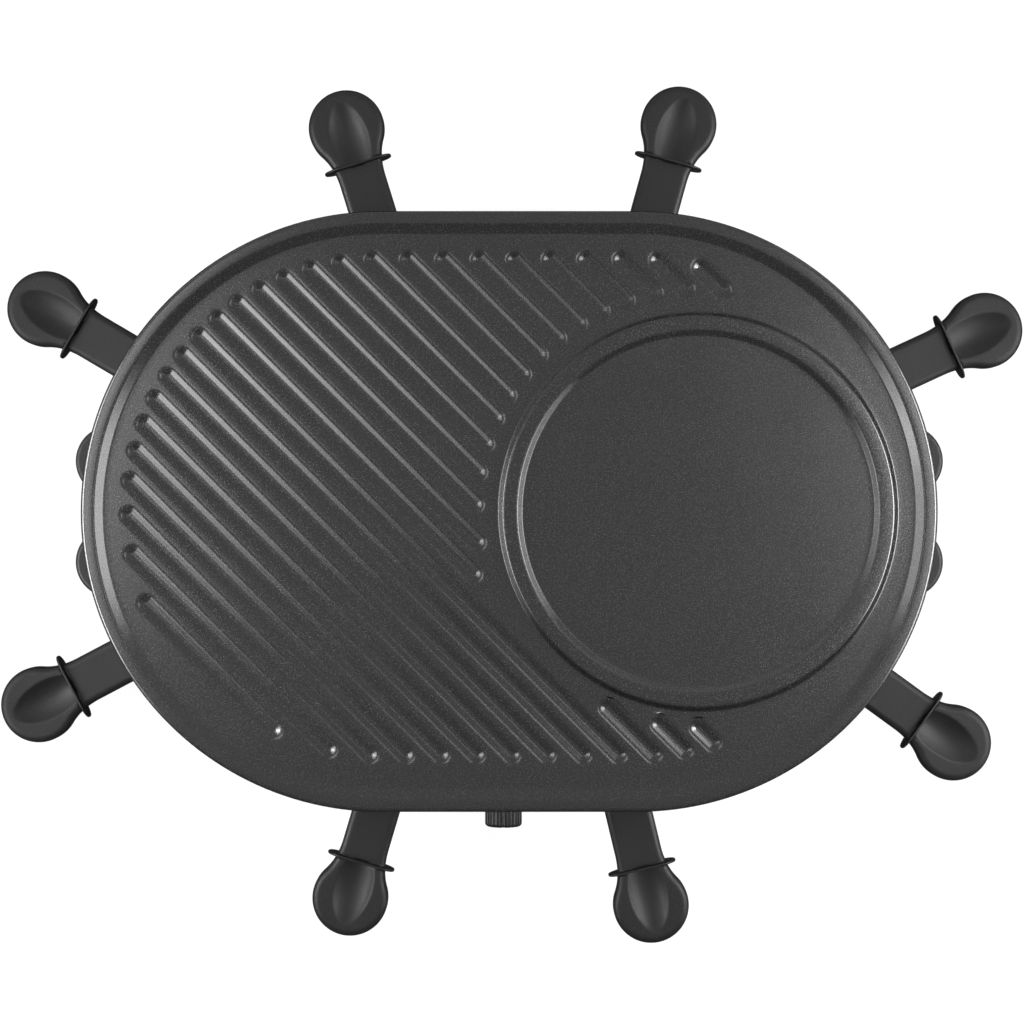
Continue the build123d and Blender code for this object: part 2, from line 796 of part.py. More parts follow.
def cord_gland():
    face_x = side_reach
    body = outward_bar(gland_flange_r, face_x, face_x + gland_flange, 0, gland_z)
    body += outward_bar(gland_r, face_x - upright_wall - gland_length, face_x, 0, gland_z)
    body -= outward_bar(gland_bore_r, face_x - upright_wall - gland_length - overrun,
                        face_x + gland_flange + overrun, 0, gland_z)
    return rear(body)


def terminal_block():
    """Three ways side by side, with a saw cut between each."""
    low_x = side_reach - side_depth
    body = slab(low_x, low_x + block_depth, block_width / 2,
                block_z - block_height / 2, block_z + block_height / 2)
    for step in range(1, block_ways):
        y = block_width * (step / block_ways - 1 / 2)
        body -= slab(low_x + block_depth / 2, low_x + block_depth + overrun, block_groove / 2,
                     block_z - block_height / 2 - overrun, block_z + block_height / 2 + overrun, y)
    return rear(body)


def inner_leads():
    """Live, neutral and switched wires, and the earth wire up to the frame."""
    rear_y = block_x()
    front_y = -window_middle(uprights["front"])
    low = block_z - block_height / 2
    box_y = -(side_reach - upright_wall - thermostat_depth)
    pin_z = heater_end_z - insulator_length - pin_length
    live = [(0, rear_y, low), (0, rear_y, wire_low_z), (0, front_y, wire_low_z),
            (0, front_y, knob_z - wire_small_r), (0, box_y, knob_z - wire_small_r)]
    neutral = [(wire_x, rear_y, low), (wire_x, rear_y, wire_low_z),
               (wire_x, -heater_leg_y, wire_low_z), (wire_x, -heater_leg_y, pin_z)]
    switched = [(-wire_x, box_y, knob_z), (-wire_x, -heater_leg_y, knob_z),
                (-wire_x, -heater_leg_y, pin_z)]
    earth = [(-wire_x, rear_y, block_z + block_height / 2), (-wire_x, rear_y, frame_z)]
    return [
        tube(live, [wire_bend_r, wire_bend_r, wire_small_r], wire_r),
        tube(neutral, [wire_bend_r, wire_bend_r], wire_r),
        tube(switched, [wire_small_r], wire_r),
        tube(earth, [], wire_r),
    ]


# Base
def boss_places():
    places = [oval_point(base_top_r - boss_inset, turn) for turn in boss_turns]
    side_x = arc_x * boss_side_share
    for x in (-side_x, side_x):
        places.append((x, base_top_r - boss_inset))
        places.append((x, -(base_top_r - boss_inset)))
    return places


def base_shell():
    shell = tapered(stadium(base_foot_r, cover_z), stadium(base_top_r, base_top_z))
    slope = (base_top_r - base_foot_r) / base_height
    inner_low_r = base_foot_r - base_wall - slope * overrun
    inner_high_r = base_top_r - base_wall * (1 + slope)
    shell -= tapered(stadium(inner_low_r, cover_z - overrun), stadium(inner_high_r, shelf_z))
    shell -= extrude(stadium(base_top_r - base_shelf_width, shelf_z - overrun),
                     base_wall + 2 * overrun)
    for x, y in boss_places():
        shell += post(boss_r, cover_top_z, shelf_z, x, y)
    holes = []
    for x, y in boss_places():
        holes.append(post(screw_shank_r + screw_gap, cover_top_z - overrun,
                          cover_top_z + boss_screw_bite + overrun, x, y))
    for upright in uprights.values():
        for x, y in upright_screw_places(upright):
            holes.append(Rot(0, 0, upright.turn) * post(screw_shank_r + screw_gap,
                                                        shelf_z - overrun, base_top_z + overrun, x, y))
    for name in ("front", "rear"):
        window = wire_window(uprights[name], shelf_z - overrun, base_top_z + overrun)
        holes.append(Rot(0, 0, uprights[name].turn) * window)
    return shell.cut(*holes)


def on_long_side(number):
    """Whether a pan points forwards or back more than sideways."""
    turn = math.radians(pan_turns[number])
    return abs(math.sin(turn)) > abs(math.cos(turn))


def pan_place(number):
    """A pan's own place: X points outward, and the middle of its bulb is the origin."""
    share_x, share_y = pan_place_shares[number]
    x = share_x * plate_length / 2
    y = share_y * end_r
    if on_long_side(number):
        x += math.copysign(side_face_half, share_x)
    else:
        y += math.copysign(end_face_half, share_y)
    return Pos(x, y) * Rot(0, 0, pan_turns[number])


def pan_corners(number):
    """The four corners of a pan's rim in plan."""
    place = pan_place(number)
    corners = []
    for x, half in ((-pan_reach, pan_outer_half), (-pan_reach - pan_length, pan_inner_half)):
        for side in (-1, 1):
            corners.append((place * Pos(x, side * half)).position)
    return corners


def island_plan(shrink, z):
    """Rounded rectangle between the pans' inner ends."""
    half_x = min(abs(corner.X) for number in pan_turns if not on_long_side(number)
                 for corner in pan_corners(number))
    half_y = min(abs(corner.Y) for number in pan_turns if on_long_side(number)
                 for corner in pan_corners(number))
    half_x -= island_gap + shrink
    half_y -= island_gap + shrink
    return Pos(0, 0, z) * RectangleRounded(2 * half_x, 2 * half_y, island_corner_share * half_y)


def deck_ridge(mirror_x, mirror_y):
    """Low pressed ridge between two neighbouring pans."""
    start = Vector(ridge_start_share[0] * plate_length / 2 * mirror_x,
                   ridge_start_share[1] * end_r * mirror_y)
    end = Vector(ridge_end_share[0] * plate_length / 2 * mirror_x,
                 ridge_end_share[1] * end_r * mirror_y)
    middle = (start + end) / 2
    turn = math.degrees(math.atan2(end.Y - start.Y, end.X - start.X))
    length = (end - start).length
    slope = (ridge_width - ridge_crest_width) / ridge_height
    low = Pos(0, 0, -deck_sheet / 2) * SlotCenterToCenter(length, ridge_width + slope * deck_sheet / 2)
    high = Pos(0, 0, ridge_height) * SlotCenterToCenter(length, ridge_crest_width)
    return Pos(middle.X, middle.Y, deck_z) * Rot(0, 0, turn) * tapered(low, high)


def pan_deck():
    deck = extrude(stadium(deck_r, base_top_z), deck_sheet)
    deck = fillet(deck.faces().sort_by(Axis.Z)[-1].edges(), deck_sheet * deck_edge_share)
    deck += ring_wall(deck_r, deck_r - deck_sheet, base_top_z - deck_rim_depth, base_top_z)
    deck += tapered(island_plan(0, deck_z), island_plan(island_slope, deck_z + island_height))
    deck -= tapered(island_plan(deck_sheet, base_top_z - slide_gap),
                    island_plan(island_slope + deck_sheet, base_top_z + island_height))
    for mirror_x in (-1, 1):
        for mirror_y in (-1, 1):
            deck += deck_ridge(mirror_x, mirror_y)
    holes = []
    for upright in uprights.values():
        for x, y in upright_screw_places(upright):
            holes.append(Rot(0, 0, upright.turn) * post(screw_shank_r + screw_gap,
                                                        base_top_z - overrun, deck_z + overrun, x, y))
    for name in ("front", "rear"):
        window = wire_window(uprights[name], base_top_z - overrun, deck_z + overrun)
        holes.append(Rot(0, 0, uprights[name].turn) * window)
    return deck.cut(*holes)


def foot_places():
    x = foot_place_share[0] * plate_length / 2
    y = foot_place_share[1] * end_r
    return [(-x, -y), (x, -y), (x, y), (-x, y)]


def bottom_cover():
    cover = extrude(stadium(base_foot_r - base_wall - slide_gap, cover_z), cover_sheet)
    low_z, high_z = cover_z - overrun, cover_top_z + overrun
    holes = [post(screw_shank_r + screw_gap, low_z, high_z, x, y) for x, y in boss_places()]
    holes += [post(foot_neck_r + slide_gap, low_z, high_z, x, y) for x, y in foot_places()]
    for step in range(vent_count):
        x = (step - (vent_count - 1) / 2) * vent_pitch
        vent = Pos(x, 0, low_z) * Rot(0, 0, 90) * SlotOverall(vent_length, vent_width)
        holes.append(extrude(vent, high_z - low_z))
    return cover.cut(*holes)


def cover_screws():
    length = cover_sheet + boss_screw_bite
    return [screw(x, y, cover_z, length, up=True) for x, y in boss_places()]


def rubber_feet():
    profile = [
        (0, 0),
        (foot_pad_r - foot_taper, 0),
        (foot_pad_r, cover_z),
        (foot_neck_r, cover_z),
        (foot_neck_r, cover_top_z),
        (foot_head_r, cover_top_z),
        (foot_neck_r, cover_top_z + foot_head_height),
        (0, cover_top_z + foot_head_height),
    ]
    face = make_face(Polyline(*[(r, 0, z) for r, z in profile], close=True))
    foot = revolve(face, Axis.Z)
    return [Pos(x, y) * foot for x, y in foot_places()]


# Pans, in a frame whose X points outward and whose origin is the middle of the bulb
def pan_plan(inset, z):
    """Wedge with rounded corners, wider at the outer end, drawn in by an inset."""
    outer_x, inner_x = -pan_reach, -pan_reach - pan_length
    outline = make_face(Polyline((outer_x, pan_outer_half), (inner_x, pan_inner_half),
                                 (inner_x, -pan_inner_half), (outer_x, -pan_outer_half), close=True))
    outline = fillet(outline.vertices(), pan_corner_r)
    if inset:
        outline = offset(outline, -inset)
    return Pos(0, 0, z) * outline


def pan_dish():
    """Pressed dish with sloped walls and a flat lip, and the strap that is welded under it."""
    foot_inset = pan_lip + pan_draft
    slope = pan_draft / pan_depth
    dish = tapered(pan_plan(foot_inset, pan_z), pan_plan(pan_lip, pan_top_z))
    dish += extrude(pan_plan(0, pan_top_z - pan_sheet), pan_sheet)
    strap = slab(-pan_reach - pan_lip, -pan_reach + strap_length, strap_width / 2,
                 strap_z - strap_sheet / 2, strap_z + strap_sheet / 2)
    dish += strap
    floor_inset = foot_inset + pan_sheet - slope * pan_sheet
    mouth_inset = pan_lip + pan_sheet - slope * overrun
    dish -= tapered(pan_plan(floor_inset, pan_z + pan_sheet), pan_plan(mouth_inset, pan_top_z + overrun))
    dish -= post(pan_screw_shank_r + screw_gap, strap_z - strap_sheet, strap_z + strap_sheet,
                 -pan_screw_place)
    return dish


def pan_handle():
    """Flat neck, oval finger guard and round bulb with a thumb scoop that runs out from the guard."""
    neck_start_x = -pan_reach + neck_start
    neck = make_face(Polyline((neck_start_x, -neck_width / 2), (-guard_place, -neck_guard_width / 2),
                              (-guard_place, neck_guard_width / 2), (neck_start_x, neck_width / 2),
                              close=True))
    neck = extrude(Pos(0, 0, strap_z - neck_thickness / 2) * neck, neck_thickness)
    neck_rim = neck.faces().filter_by(Axis.Z).edges().filter_by(Axis.Y, reverse=True)
    neck = fillet(neck_rim, neck_edge_r)

    half = neck_guard_width / 2
    bulb = Circle(bulb_r) + Pos(-guard_place / 2, 0) * Rectangle(guard_place, 2 * half)
    joint_x = -math.sqrt(bulb_r ** 2 - half ** 2)
    joints = [corner for corner in bulb.vertices() if abs(corner.X - joint_x) < pick_reach]
    bulb = fillet(joints, bulb_blend_r)
    bulb = extrude(Pos(0, 0, strap_z - bulb_thickness / 2) * bulb, bulb_thickness)
    bulb_rim = [edge for edge in bulb.faces().filter_by(Axis.Z).edges()
                if edge.center().X > -guard_place + pick_reach]
    bulb = fillet(bulb_rim, bulb_edge_r)

    guard = extrude(Plane((-guard_place - guard_sheet / 2, 0, strap_z), x_dir=(0, 1, 0), z_dir=(1, 0, 0))
                    * RectangleRounded(guard_width, guard_height, guard_corner_r), guard_sheet)
    handle = neck + bulb + guard - thumb_scoop()

    pocket_end_x = -pan_reach + strap_length + slide_gap
    handle -= slab(neck_start_x - overrun, pocket_end_x, strap_width / 2 + slide_gap,
                   strap_z - strap_sheet / 2 - slide_gap, strap_z + strap_sheet / 2 + slide_gap)
    low_z = strap_z - neck_thickness / 2
    handle -= post(pan_screw_head_r + slide_gap, low_z - overrun,
                   low_z + pan_screw_sink + pan_screw_head_height, -pan_screw_place)
    handle -= post(pan_screw_shank_r + screw_gap, low_z,
                   strap_z + strap_sheet / 2 + pan_screw_bite + slide_gap, -pan_screw_place)
    return handle


def thumb_scoop():
    """Cone that lies level above the bulb, so that it cuts an almond, deepest at the guard."""
    lift = (scoop_half_width ** 2 / scoop_depth - scoop_depth) / 2
    wide_r = lift + scoop_depth
    start_x = -guard_place + guard_sheet / 2
    slope = scoop_depth / scoop_length
    top_z = strap_z + bulb_thickness / 2
    cone = Cone(wide_r, lift - slope * overrun, scoop_length + overrun,
                align=(Align.CENTER, Align.CENTER, Align.MIN))
    plane = Plane((start_x, 0, top_z + lift), x_dir=(0, 1, 0), z_dir=(1, 0, 0))
    return plane.location * cone


def pan_screw():
    low_z = strap_z - neck_thickness / 2 + pan_screw_sink
    head_top_z = low_z + pan_screw_head_height
    body = post(pan_screw_head_r, low_z, head_top_z, -pan_screw_place)
    body += post(pan_screw_shank_r, head_top_z, strap_z + strap_sheet / 2 + pan_screw_bite,
                 -pan_screw_place)
    return body


def placed(number, shape):
    """A pan's piece at its place round the plate."""
    return pan_place(number) * shape


def grouped(shapes):
    return Compound(children=[shape.solid() for shape in shapes])


pieces = {
    "grill_plate": grill_plate(),
    "upper_frame": upper_frame(),
    "heating_element": heating_element(),
    "element_insulators": grouped(element_insulators()),
    "terminal_pins": grouped(terminal_pins()),
    "element_clips": grouped(element_clips()),
    "clip_rivets": grouped(clip_rivets()),
    "upright_screws": grouped(upright_screws()),
    "handle_screws": grouped(handle_screws()),
    "thermostat": thermostat(),
    "thermostat_nut": thermostat_nut(),
    "thermostat_shaft": thermostat_shaft(),
    "temperature_knob": temperature_knob(),
    "indicator_lamp": indicator_lamp(),
    "cord_gland": cord_gland(),
    "terminal_block": terminal_block(),
    "inner_leads": grouped(inner_leads()),
    "base_shell": base_shell(),
    "pan_deck": pan_deck(),
    "bottom_cover": bottom_cover(),
    "cover_screws": grouped(cover_screws()),
    "rubber_feet": grouped(rubber_feet()),
}
back_screws = []
for name, upright in uprights.items():
    pieces[name + "_upright"] = finished_pillar(name)
    pieces[name + "_upright_cover"] = Rot(0, 0, upright.turn) * pillar_cover(upright)
    back_screws.append(Rot(0, 0, upright.turn) * pillar_cover_screw(upright))
pieces["upright_cover_screws"] = grouped(back_screws)
for name in ("left", "right"):
    pieces[name + "_handle"] = side_handle(name)
for number in pan_turns:
    pieces[f"pan_{number}"] = placed(number, pan_dish())
    pieces[f"pan_handle_{number}"] = placed(number, pan_handle())
    pieces[f"pan_screw_{number}"] = placed(number, pan_screw())

os.makedirs("parts", exist_ok=True)
for name, shape in pieces.items():
    export_step(shape, f"parts/{name}.step")
print(len(pieces), "pieces written,", len(groove_ends()), "grooves")
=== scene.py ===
# %% [markdown]
# # A raclette grill seen from straight above
#
# The grill is a cast plate with a raised rim, a round crepe ring and diagonal grooves. Below it are
# a bent heater, a deck for eight small pans, and the pillars that carry the plate. The engineering
# model is loaded first and stays fixed. What this file adds is the look: smooth surfaces for the
# pieces that show, and a finish for every piece.

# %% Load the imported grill
import json
import math

import bmesh
import bpy
import numpy as np
from mathutils.geometry import tessellate_polygon
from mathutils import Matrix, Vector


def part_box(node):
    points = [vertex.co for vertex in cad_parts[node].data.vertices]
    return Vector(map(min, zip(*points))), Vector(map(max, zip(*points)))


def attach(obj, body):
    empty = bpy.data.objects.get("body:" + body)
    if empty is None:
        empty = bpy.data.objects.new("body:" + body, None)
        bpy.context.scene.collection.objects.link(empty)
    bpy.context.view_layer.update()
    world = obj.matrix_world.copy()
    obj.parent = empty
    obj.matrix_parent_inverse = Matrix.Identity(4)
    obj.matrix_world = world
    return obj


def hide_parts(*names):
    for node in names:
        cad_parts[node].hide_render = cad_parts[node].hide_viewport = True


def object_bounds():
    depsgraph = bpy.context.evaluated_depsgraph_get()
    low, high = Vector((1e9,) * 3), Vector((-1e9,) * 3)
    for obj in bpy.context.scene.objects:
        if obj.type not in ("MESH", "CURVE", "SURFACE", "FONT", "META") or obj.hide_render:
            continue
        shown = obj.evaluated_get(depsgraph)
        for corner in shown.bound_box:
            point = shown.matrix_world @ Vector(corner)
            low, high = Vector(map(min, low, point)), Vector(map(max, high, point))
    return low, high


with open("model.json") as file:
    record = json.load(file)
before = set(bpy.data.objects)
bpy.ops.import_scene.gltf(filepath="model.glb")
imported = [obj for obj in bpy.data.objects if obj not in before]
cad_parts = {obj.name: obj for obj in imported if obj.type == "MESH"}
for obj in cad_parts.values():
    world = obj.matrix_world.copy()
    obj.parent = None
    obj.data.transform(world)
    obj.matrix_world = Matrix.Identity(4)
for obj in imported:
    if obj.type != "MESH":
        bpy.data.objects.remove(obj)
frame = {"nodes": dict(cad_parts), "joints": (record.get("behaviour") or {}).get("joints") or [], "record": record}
scene = bpy.context.scene
mm = 0.001
cad_low, cad_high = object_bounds()
cad_box = [round(v / mm, 1) for v in cad_high - cad_low]
print("loaded", len(frame["nodes"]), "nodes; box in mm:", cad_box)

# %% [markdown]
# ## The camera
#
# The photograph looks straight down, so the picture's up is the grill's back. The lens is long,
# because the pans' handles, 60 mm lower than the rim, are drawn only a little smaller than at the
# rim. Pointing a camera down with no turn at all gives the same picture, so nothing has to be
# aimed.

# %% Place the camera
lens_above_rim = 1.25
lens_x, lens_y = 1.37 * mm, -0.24 * mm
focal_length = 89.8
sensor_width = 36.0

plate_low, plate_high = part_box("grill_plate")
camera_data = bpy.data.cameras.new("camera")
camera_data.sensor_width = sensor_width
camera_data.lens = focal_length
camera = bpy.data.objects.new("camera", camera_data)
camera.location = (lens_x, lens_y, plate_high.z + lens_above_rim)
scene.collection.objects.link(camera)
scene.camera = camera
print("camera", round(camera.location.z, 3), "m above the table")

# %% [markdown]
# ## Outlines and profiles
#
# Pressed and cast parts are nearly all the same kind of shape: a profile carried round an outline.
# A rim, a ring, a groove and a pan's lip could each be cut or bevelled out of a block, but then
# their rounded edges depend on what the bevel finds. Here the profile's corners are turned into
# true arcs first, and the surface is worked out from them as one array of points.


# %% Outlines and profiles
def arc_path(arcs, steps):
    """Points and outward directions of an outline made of arcs joined by straight runs.

    Each arc is (centre x, centre y, first turn, last turn) in degrees. At share s along it the
    outward direction is (cos t, sin t), where t runs evenly from the first turn to the last."""
    table = np.array(arcs, float)
    share = np.linspace(0, 1, steps)
    turns = np.radians(table[:, 2:3] + (table[:, 3:4] - table[:, 2:3]) * share)
    centres = np.repeat(table[:, :2], steps, axis=0)
    return centres, np.column_stack([np.cos(turns).ravel(), np.sin(turns).ravel()])


def rounded(corners, radii, steps=7):
    """Profile whose inner corners are arcs.

    With a the unit run into a corner, n the unit direction square to it on the side of the turn,
    and w the corner's turn, the arc starts r·tan(w/2) before the corner, and at share s of the turn
    its point is start + r·(sin(s·w)·a + (1 − cos(s·w))·n)."""
    points = np.array(corners, float)
    radius = np.array(radii, float)[:, None]
    runs = points[1:] - points[:-1]
    runs /= np.linalg.norm(runs, axis=1)[:, None]
    before, after = runs[:-1], runs[1:]
    side = np.sign(before[:, 0] * after[:, 1] - before[:, 1] * after[:, 0])[:, None]
    turn = np.arccos(np.clip((before * after).sum(axis=1), -1, 1))[:, None]
    start = points[1:-1] - before * radius * np.tan(turn / 2)
    square = np.column_stack([-before[:, 1], before[:, 0]]) * side
    swing = np.linspace(0, 1, steps)[None, :, None] * turn[:, None]
    arcs = start[:, None] + radius[:, None] * (
        np.sin(swing) * before[:, None] + (1 - np.cos(swing)) * square[:, None])
    return np.vstack([points[:1], arcs.reshape(-1, 2), points[-1:]])


def carried(path, profile):
    """Grid of points of a profile carried round a path.

    Point (i, j) is path point i + distance j · outward i, at height j, and the profile's columns
    are distance and height."""
    points, outward = path
    flat = points[:, None] + outward[:, None] * profile[None, :, :1]
    height = np.broadcast_to(profile[:, 1], flat.shape[:2])
    return np.dstack([flat, height])


def level_line(path, distance):
    """The outline at one distance from its path: path point + distance · outward."""
    points, outward = path
    return points + outward * distance


# %% [markdown]
# ## From points to pieces
#
# A grid of points becomes four-sided faces by counting: the corners of face (i, j) are points (i,
# j), (i+1, j), (i+1, j+1) and (i, j+1). Flat areas with holes in them, such as the plate between
# its grooves, are cut into triangles instead. Patches that share an edge are then welded, so the
# whole piece shades as one skin, and a count of open edges shows whether it is closed.


# %% Make a piece from patches
weld_gap = 0.002 * mm


def grid_patch(points):
    """Vertices and faces of a grid whose rows close on themselves."""
    rows, columns = points.shape[:2]
    row, column = np.meshgrid(np.arange(rows), np.arange(columns - 1), indexing="ij")
    following = (row + 1) % rows
    faces = np.stack([row * columns + column, following * columns + column,
                      following * columns + column + 1, row * columns + column + 1], axis=-1)
    return points.reshape(-1, 3), faces.reshape(-1, 4)


def flat_patch(loops, height):
    """Vertices and triangles of a flat area inside the first loop and outside the others."""
    flat = np.vstack(loops)
    corners = [np.column_stack([loop / mm, np.zeros(len(loop))]).tolist() for loop in loops]
    triangles = np.array(tessellate_polygon(corners))
    return np.column_stack([flat, np.full(len(flat), height)]), triangles


def welded(name, patches, near=weld_gap):
    """One smooth piece from patches: equal points are joined and faces turned outwards."""
    counts = np.cumsum([0] + [len(vertices) for vertices, _ in patches])
    vertices = np.vstack([vertices for vertices, _ in patches])
    faces = []
    for (_, patch_faces), first in zip(patches, counts):
        faces += (patch_faces + first).tolist()
    mesh = bpy.data.meshes.new(name)
    mesh.from_pydata(vertices.tolist(), [], faces)
    work = bmesh.new()
    work.from_mesh(mesh)
    bmesh.ops.remove_doubles(work, verts=work.verts, dist=near)
    bmesh.ops.dissolve_degenerate(work, edges=work.edges, dist=near)
    bmesh.ops.recalc_face_normals(work, faces=work.faces)
    open_edges = sum(edge.is_boundary for edge in work.edges)
    work.to_mesh(mesh)
    work.free()
    mesh.shade_smooth()
    piece = bpy.data.objects.new(name, mesh)
    scene.collection.objects.link(piece)
    print(name, len(mesh.polygons), "faces,", open_edges, "open edges")
    return piece


def fitted(piece, body, slot, *nodes):
    """Hands a piece over: what it rides on, its finish, and the nodes that it stands for."""
    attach(piece, body)
    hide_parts(*nodes)
    piece.data.materials.clear()
    piece.data.materials.append(finishes[slot])


# %% [markdown]
# ## Finishes
#
# Everything here is dark, so the differences lie in gloss and grain. A coating has a fine sparkle
# from its fillers, moulded plastic is matt with a soft spark-eroded grain, and pressed steel is
# smoother. One function builds them all from the same few parts: a colour that wanders a little, a
# roughness that wanders with it, and a bump from fine noise. The patterns read Object coordinates,
# which stay on the piece when it moves.


# %% Build the finishes
wander_per_mm, wander_detail = 0.03, 3.0
speck_from, speck_full = 0.54, 0.72


def noise(tree, coordinates, per_mm, detail=2.0):
    """A noise pattern with this many waves to a millimetre."""
    node = tree.nodes.new("ShaderNodeTexNoise")
    node.inputs["Scale"].default_value = per_mm / mm
    node.inputs["Detail"].default_value = detail
    tree.links.new(coordinates, node.inputs["Vector"])
    return node.outputs["Fac"]


def spread(tree, value, low, high, dark=0.25, light=0.75):
    """A value mapped on to a range from low to high, levelling off softly at both ends."""
    node = tree.nodes.new("ShaderNodeMapRange")
    node.interpolation_type = "SMOOTHSTEP"
    node.inputs["From Min"].default_value = dark
    node.inputs["From Max"].default_value = light
    node.inputs["To Min"].default_value = low
    node.inputs["To Max"].default_value = high
    tree.links.new(value, node.inputs["Value"])
    return node.outputs["Result"]


def finish(slot, colour, roughness, grain_per_mm, grain_depth, wander=0.12, rough_wander=0.05,
           metallic=0.0, specular=0.5, speck=0.0, coat=0.0, clear=0.0):
    """A material: base colour and roughness that wander, and a bump of fine grain. With specks the
    colour follows the grain's peaks instead, as the bright fillers in a coating do."""
    material = bpy.data.materials.new(slot)
    material.use_nodes = True
    tree = material.node_tree
    shader = tree.nodes["Principled BSDF"]
    shader.inputs["Metallic"].default_value = metallic
    shader.inputs["Specular IOR Level"].default_value = specular
    shader.inputs["Coat Weight"].default_value = coat
    shader.inputs["Transmission Weight"].default_value = clear
    coordinates = tree.nodes.new("ShaderNodeTexCoord").outputs["Object"]
    broad = noise(tree, coordinates, wander_per_mm, wander_detail)
    fine = noise(tree, coordinates, grain_per_mm)
    shade = tree.nodes.new("ShaderNodeMix")
    shade.data_type = "RGBA"
    dark = [part * (1 - wander) for part in colour]
    light = [part * (1 + wander + speck) for part in colour]
    shade.inputs["A"].default_value = (*dark, 1)
    shade.inputs["B"].default_value = (*light, 1)
    if speck:
        chosen = spread(tree, fine, 0, 1, speck_from, speck_full)
    else:
        chosen = spread(tree, broad, 0, 1)
    tree.links.new(chosen, shade.inputs["Factor"])
    tree.links.new(shade.outputs["Result"], shader.inputs["Base Color"])
    tree.links.new(spread(tree, broad, roughness - rough_wander, roughness + rough_wander),
                   shader.inputs["Roughness"])
    bump = tree.nodes.new("ShaderNodeBump")
    bump.inputs["Distance"].default_value = grain_depth * mm
    tree.links.new(fine, bump.inputs["Height"])
    tree.links.new(bump.outputs["Normal"], shader.inputs["Normal"])
    return material


finishes = {
    "nonstick_coating": finish("nonstick_coating", (0.0058, 0.0054, 0.0055), 0.18, 2.0, 0.035,
                               wander=0.15, rough_wander=0.02, speck=7.5),
    "black_enamel": finish("black_enamel", (0.022, 0.022, 0.023), 0.38, 1.2, 0.02),
    "pan_coating": finish("pan_coating", (0.012, 0.012, 0.0125), 0.30, 1.8, 0.03, speck=4.0),
    "handle_plastic": finish("handle_plastic", (0.0085, 0.0085, 0.009), 0.46, 2.0, 0.05,
                             specular=0.25, speck=1.5),
    "black_plastic": finish("black_plastic", (0.014, 0.014, 0.0145), 0.46, 2.0, 0.03),
    "knob_plastic": finish("knob_plastic", (0.008, 0.008, 0.0085), 0.32, 2.0, 0.02, specular=0.25),
    "element_steel": finish("element_steel", (0.20, 0.18, 0.16), 0.42, 0.8, 0.01,
                            wander=0.3, metallic=1.0),
    "zinc_steel": finish("zinc_steel", (0.62, 0.62, 0.60), 0.34, 1.5, 0.01, metallic=1.0),
    "ceramic_bead": finish("ceramic_bead", (0.80, 0.77, 0.70), 0.35, 1.0, 0.02, wander=0.05),
    "thermostat_case": finish("thermostat_case", (0.62, 0.57, 0.46), 0.55, 1.0, 0.02, wander=0.05),
    "block_plastic": finish("block_plastic", (0.72, 0.72, 0.69), 0.45, 1.0, 0.02, wander=0.04),
    "lamp_lens": finish("lamp_lens", (0.72, 0.10, 0.03), 0.12, 1.0, 0.0, wander=0.03,
                        rough_wander=0.02, coat=0.5, clear=0.4),
    "wire_sleeve": finish("wire_sleeve", (0.45, 0.40, 0.33), 0.75, 1.0, 0.12, wander=0.15),
    "foot_rubber": finish("foot_rubber", (0.03, 0.03, 0.03), 0.8, 1.5, 0.03),
}
print(len(finishes), "finishes")

# %% [markdown]
# ## The grill plate
#
# The plate is an aluminium casting with a dark non-stick coat. Seen from above it is nearly the
# whole picture, and all its drawing comes from light on small curves: the rolled rim, the ring and
# the grooves. It is made as one closed skin. The rim and skirt are one profile carried round the
# oval, the ring and each groove are a profile carried round a circle or a slot, and flat areas fill
# the rest.

# %% Sizes of the plate
plate_length = plate_high.x - plate_low.x
end_r = (plate_high.y - plate_low.y) / 2
arc_x = plate_length / 2 - end_r
plate_top = plate_high.z
rim_rise = 3.6 * mm
rim_width = 6.4 * mm
rim_slope_width = 4.4 * mm
plate_thickness = 5.0 * mm
skirt_depth = 13.0 * mm
skirt_wall = 3.0 * mm
surface_z = plate_top - rim_rise
under_z = surface_z - plate_thickness
field_margin = 14.0 * mm
under_margin = 2.6 * mm
seam_r = end_r - field_margin
under_seam_r = end_r - skirt_wall - under_margin
rim_rounds = np.array([1.5, 2.4, 2.0, 0.9, 0.9, 2.0]) * mm

ring_outer_foot_r = 98.2 * mm
ring_margin = 19.0 * mm
ring_width = 11.8 * mm
ring_slope_width = 2.5 * mm
ring_height = 2.8 * mm
ring_centre = np.array([plate_length / 2 - ring_margin - ring_outer_foot_r, 0.0])
ring_seam = 3.0 * mm
ring_rounds = np.array([0.9, 1.6, 1.6, 0.9]) * mm

end_steps, ring_steps, round_steps = 97, 193, 9
oval = arc_path([(arc_x, 0, -90, 90), (-arc_x, 0, 90, 270)], end_steps)
circle = arc_path([(*ring_centre, 0, 360)], ring_steps)
print("plate in mm", round(plate_length / mm, 1), "by", round(2 * end_r / mm, 1))


# %% The plate's rim and skirt
def rim_patch():
    """From the field over the inner slope, the rolled edge and the skirt to the underside."""
    slope_foot_r = end_r - rim_width - rim_slope_width
    skirt_z = plate_top - skirt_depth
    corners = [(seam_r, surface_z), (slope_foot_r, surface_z), (end_r - rim_width, plate_top),
               (end_r, plate_top), (end_r, skirt_z), (end_r - skirt_wall, skirt_z),
               (end_r - skirt_wall, under_z), (under_seam_r, under_z)]
    return grid_patch(carried(oval, rounded(corners, rim_rounds, round_steps)))


